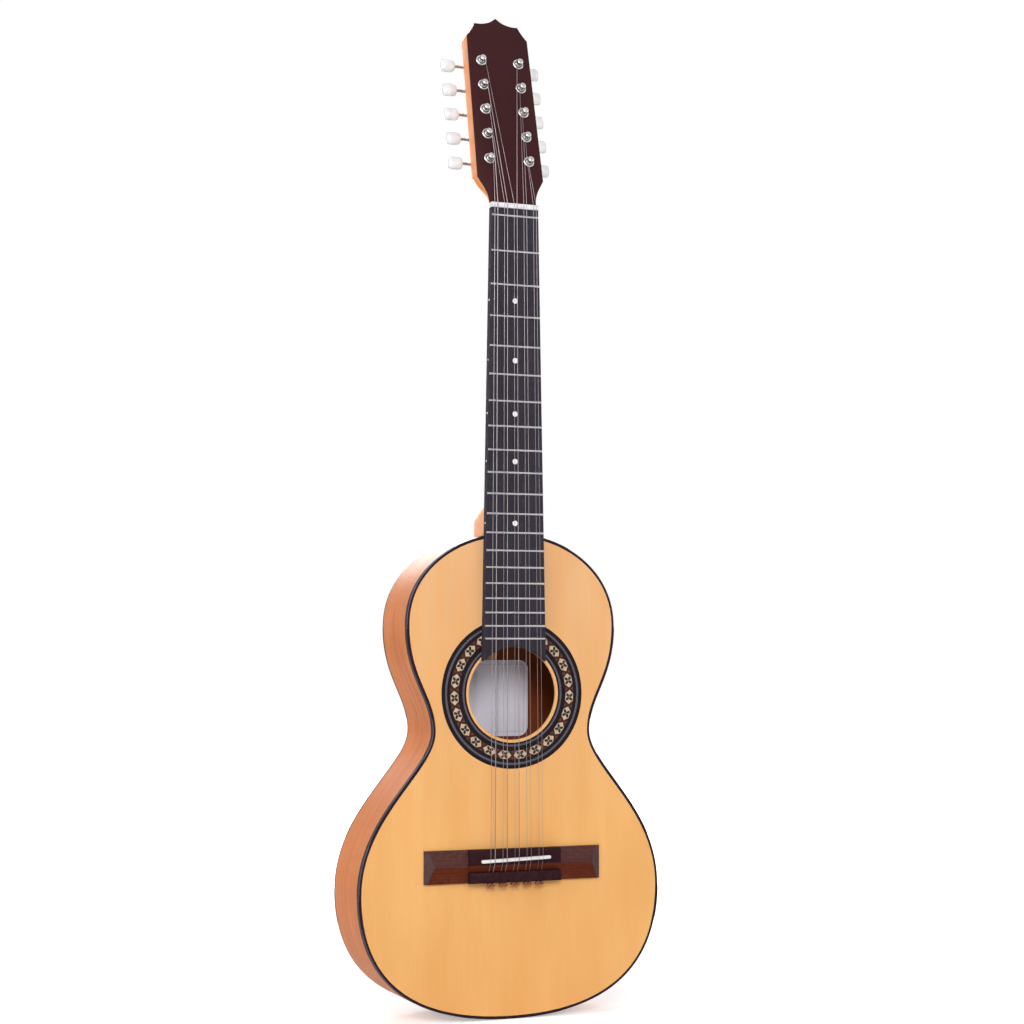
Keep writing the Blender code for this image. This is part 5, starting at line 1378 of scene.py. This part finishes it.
def worm(side):
    """A round shaft with a screw thread, along X."""
    shaft = moved(turned(SHAFT_PROFILE, 24), spun(-side * math.pi / 2, "Z"))
    thread = bmesh.new()
    made = ops.create_circle(thread, radius=1.78, segments=20)
    whole_turn = 2 * math.pi * WORM_LENGTH / THREAD_PITCH
    start = whole_turn / 2
    at_start = at(-side * WORM_LENGTH / 2, 0.42 * math.sin(start), 0.42 * math.cos(start))
    ops.transform(thread, matrix=at_start @ spun(math.pi / 2, "Y"), verts=made["verts"])
    first = thread.edges[:]
    wound = ops.spin(thread, geom=thread.verts[:] + first, cent=(0, 0, 0), axis=(1, 0, 0), angle=whole_turn,
                     steps=THREAD_STEPS, dvec=(side * WORM_LENGTH / THREAD_STEPS, 0, 0))
    ops.holes_fill(thread, edges=first + lines_of(wound, "geom_last"), sides=0)
    set_in(shaft, thread)
    return shaft


for name, side, s in tuners():
    placed(worm(side), f"key_shaft_{name}", nickel_finish, f"key_{name}", f"worm_shaft_{name}",
           on_row(side, s + KEY_OFFSET, KEY_DEPTH))

# %% [markdown]
# ## Buttons
# The buttons are oval pearl plastic, swelling from a narrow neck. Nine rings are made with the
# circle operator, pressed oval, moved along the shaft and bridged.

# %% Buttons
# Each row is a distance along the shaft, half the height and half the depth there
BUTTON_RINGS = (
    (17.1, 2.6, 2.6), (17.25, 4.0, 3.2), (17.8, 5.2, 3.6), (19.2, 6.0, 3.9), (22.0, 6.4, 4.0),
    (26.0, 6.5, 4.0), (29.2, 6.3, 3.7), (30.4, 5.3, 3.0), (30.8, 4.0, 2.0),
)


def button(side):
    bm = bmesh.new()
    loops = []
    for reach, high, deep in BUTTON_RINGS:
        made = ops.create_circle(bm, radius=1.0, segments=24)
        shape = at(side * reach) @ spun(math.pi / 2, "Y") @ Matrix.Diagonal((high, deep, 1, 1))
        ops.transform(bm, matrix=shape, verts=made["verts"])
        loops.append(list({e for v in made["verts"] for e in v.link_edges}))
    return bridged(bm, loops)


for name, side, s in tuners():
    placed(button(side), f"pearl_button_{name}", pearl_finish, f"key_{name}",
           f"tuner_button_{name}", on_row(side, s + KEY_OFFSET, KEY_DEPTH), crisp=60.0)

# %% [markdown]
# ## Tuner plates
# Each strip of five keys sits on one plate behind the headstock. The plate has round ends, two
# ears for each shaft and small screws between the keys. Sheets make the plate and ears, with
# their edges softened as a press leaves them.

# %% Plates with their ears and screws
EAR_PLACES, EAR_THICKNESS = (-5.8, 4.6), 1.2
SCREW_RADIUS, SCREW_HEIGHT, SCREW_SLOT = 1.9, 1.0, 0.3


def screw_head(depth):
    """A low domed head with a slot across it, looking towards plus Y."""
    dome = ((0, 1), (0.55, 0.92), (0.9, 0.55), (1, 0), (0, 0))
    bm = turned([(across * SCREW_RADIUS, depth + rise * SCREW_HEIGHT) for across, rise in dome], 24)
    for edge in (-SCREW_SLOT, SCREW_SLOT):
        saw(bm, (edge, 0, 0), (1, 0, 0))
    for point in bm.verts:
        if abs(point.co.x) < SCREW_SLOT + 0.01 and point.co.y > depth + 0.1:
            point.co.y = depth + max(0.1, (point.co.y - depth) - SCREW_HEIGHT * 0.45)
    return bm


for name, side in SIDES.items():
    low, high = -9.0, POSTS[-1] + KEY_OFFSET + 9.0
    middle_x = side * 0.35
    shape = round_rectangle(7.95, (high - low) / 2, 2.5, (low + high) / 2)
    strip = sheet_of([(x + middle_x, z) for x, z in shape], HEAD_THICKNESS, PLATE_BACK)
    soften(strip, 0.3, 2, behind(PLATE_BACK - 0.01))
    plate, bores = bmesh.new(), bmesh.new()
    set_in(plate, strip, on_row(side, 0.0))
    for s in POSTS:
        for inner in EAR_PLACES:
            ear = sheet_of(round_rectangle(3.4, 6.2, 2.4, KEY_DEPTH - 3.2), 0.0, EAR_THICKNESS)
            soften(ear, 0.25, 2)
            ear_place = Matrix(
                ((0, side, 0, side * inner), (0, 0, 1, 0), (1, 0, 0, s + KEY_OFFSET), (0, 0, 0, 1)))
            set_in(plate, ear, on_row(side, 0.0) @ ear_place)
        set_in(bores, drill(POST_BORE, HEAD_THICKNESS - 3, 19, 32), on_row(side, s))
        set_in(bores, drill(1.85, -7.5, 7.5, 24),
               on_row(side, s + KEY_OFFSET, KEY_DEPTH) @ spun(-math.pi / 2, "Z"))
    plate = combined(plate, bores)
    for s in [-5.6] + [spot + 15.5 for spot in POSTS[:-1]] + [POSTS[-1] + 12.6]:
        set_in(plate, screw_head(PLATE_BACK - 0.1), on_row(side, 0.0) @ at(middle_x, 0, s))
    finished(plate, f"backplate_{name}", nickel_finish, replaces=[f"tuner_plate_{name}"],
             crisp=38.0)

# %% [markdown]
# ## Strings
# Ten strings run from their ball ends behind the bridge, through the tie block, over the saddle
# and the zero fret, through the nut and round the posts. Each is a curve with a round section,
# turned into a mesh. The thicker string of each low pair is wound.

# %% Route of a string
WRAPS, STEPS_PER_WRAP = 1.25, 28
WAIST_RADIUS, HEAD_RADIUS = 2.2, 2.9


def wrap_route(start, side, post_s, thickness):
    """The way to a post and round its waist, in the headstock's frame."""
    radius = WAIST_RADIUS + 0.12 + thickness / 2
    middle = -FACING - 3.8
    post = row(side) @ Vector((0, 0, post_s))
    centre = Vector((post.x, post.z))
    towards = centre - Vector((start.x, start.z))
    heading = math.atan2(towards.y, towards.x) + side * math.asin(radius / towards.length)
    first = heading + side * math.pi / 2
    route = []
    for step in range(round(WRAPS * STEPS_PER_WRAP) + 1):
        wraps = step / STEPS_PER_WRAP
        angle = first - side * 2 * math.pi * wraps
        x, z = centre.x + radius * math.cos(angle), centre.y + radius * math.sin(angle)
        route.append(Vector((x, middle + (wraps - WRAPS / 2) * (thickness + 0.35), z)))
    return route


def string_route(index):
    """A string's centre line from the tie block to its post."""
    thickness = STRING_SIZES[index]
    above = thickness / 2 + 0.05
    saddle_at = SADDLE_Z + string_x(index, SADDLE_Z) * SADDLE_SLANT
    stops = [
        (-608.2, TIE_DEPTH), (-597.4, TIE_DEPTH), (saddle_at - 1.0, SADDLE_TOP - above + 0.15),
        (saddle_at, SADDLE_TOP - above), (saddle_at + 1.0, SADDLE_TOP - above + 0.02),
        (0.0, FRET_TOP - above), (NUT_END, NUT_SLOT - above),
    ]
    route = [Vector((string_x(index, z), y, z)) for z, y in stops]
    side = -1 if index < 5 else 1
    number = index if side < 0 else 9 - index
    start = HEAD.inverted() @ route[-1]
    rest = []
    if number == 1:
        # This string would touch the first post's head, so it passes beside it
        share = FIRST_POST / (FIRST_POST + POSTS[number])
        depth = start.y + (wrap_route(start, side, POSTS[number], thickness)[0].y - start.y) * share
        passing = HALF_SPAN - (HEAD_RADIUS + 0.2 + thickness / 2) - 0.2
        start = Vector((side * passing, depth, FIRST_POST))
        rest.append(start)
    rest += wrap_route(start, side, POSTS[number], thickness)
    return route + [HEAD @ point for point in rest]

# %% Strings and ball ends
for index, size in enumerate(STRING_SIZES):
    label = f"string_{10 - index}"
    wire = bpy.data.curves.new(f"{label}_path", "CURVE")
    wire.dimensions = "3D"
    wire.bevel_depth = size / 2 * MM
    wire.bevel_resolution = 2
    wire.use_fill_caps = True
    route = string_route(index)
    spline = wire.splines.new("POLY")
    spline.points.add(len(route) - 1)
    for knot, point in zip(spline.points, route):
        knot.co = (*(point * MM), 1.0)
    path = linked(f"{label}_path", wire)
    bm = bmesh.new()
    bm.from_mesh(evaluated(path).to_mesh())
    bpy.data.objects.remove(path, do_unlink=True)
    ops.scale(bm, vec=(1 / MM, 1 / MM, 1 / MM), verts=bm.verts)
    finish = wound_finish if size >= 0.6 else plain_finish
    finished(bm, f"strung_{label}", finish, replaces=[label], crisp=60.0)

BALL_PROFILE = (
    (0.7, -1.5), (1.6, -1.5), (1.9, -1.1), (1.5, -0.4), (1.5, 0.4), (1.9, 1.1), (1.6, 1.5), (0.7, 1.5))
balls = bmesh.new()
for index in range(10):
    ball = turned(BALL_PROFILE, 24, closed=True)
    set_in(balls, ball, at(string_x(index, -607.3), TIE_DEPTH, -609.25))
finished(balls, "ball_ends", copper_finish)

# %% [markdown]
# ## What stays as the frame made it
# The blocks and braces inside the body have the right shape already. They only get the bare
# inner wood as their finish.

# %% Finish of the carried-over pieces
for name in ("neck_block", "tail_block", "soundboard_braces", "back_braces"):
    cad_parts[name].material_slots[0].material = inner_finish
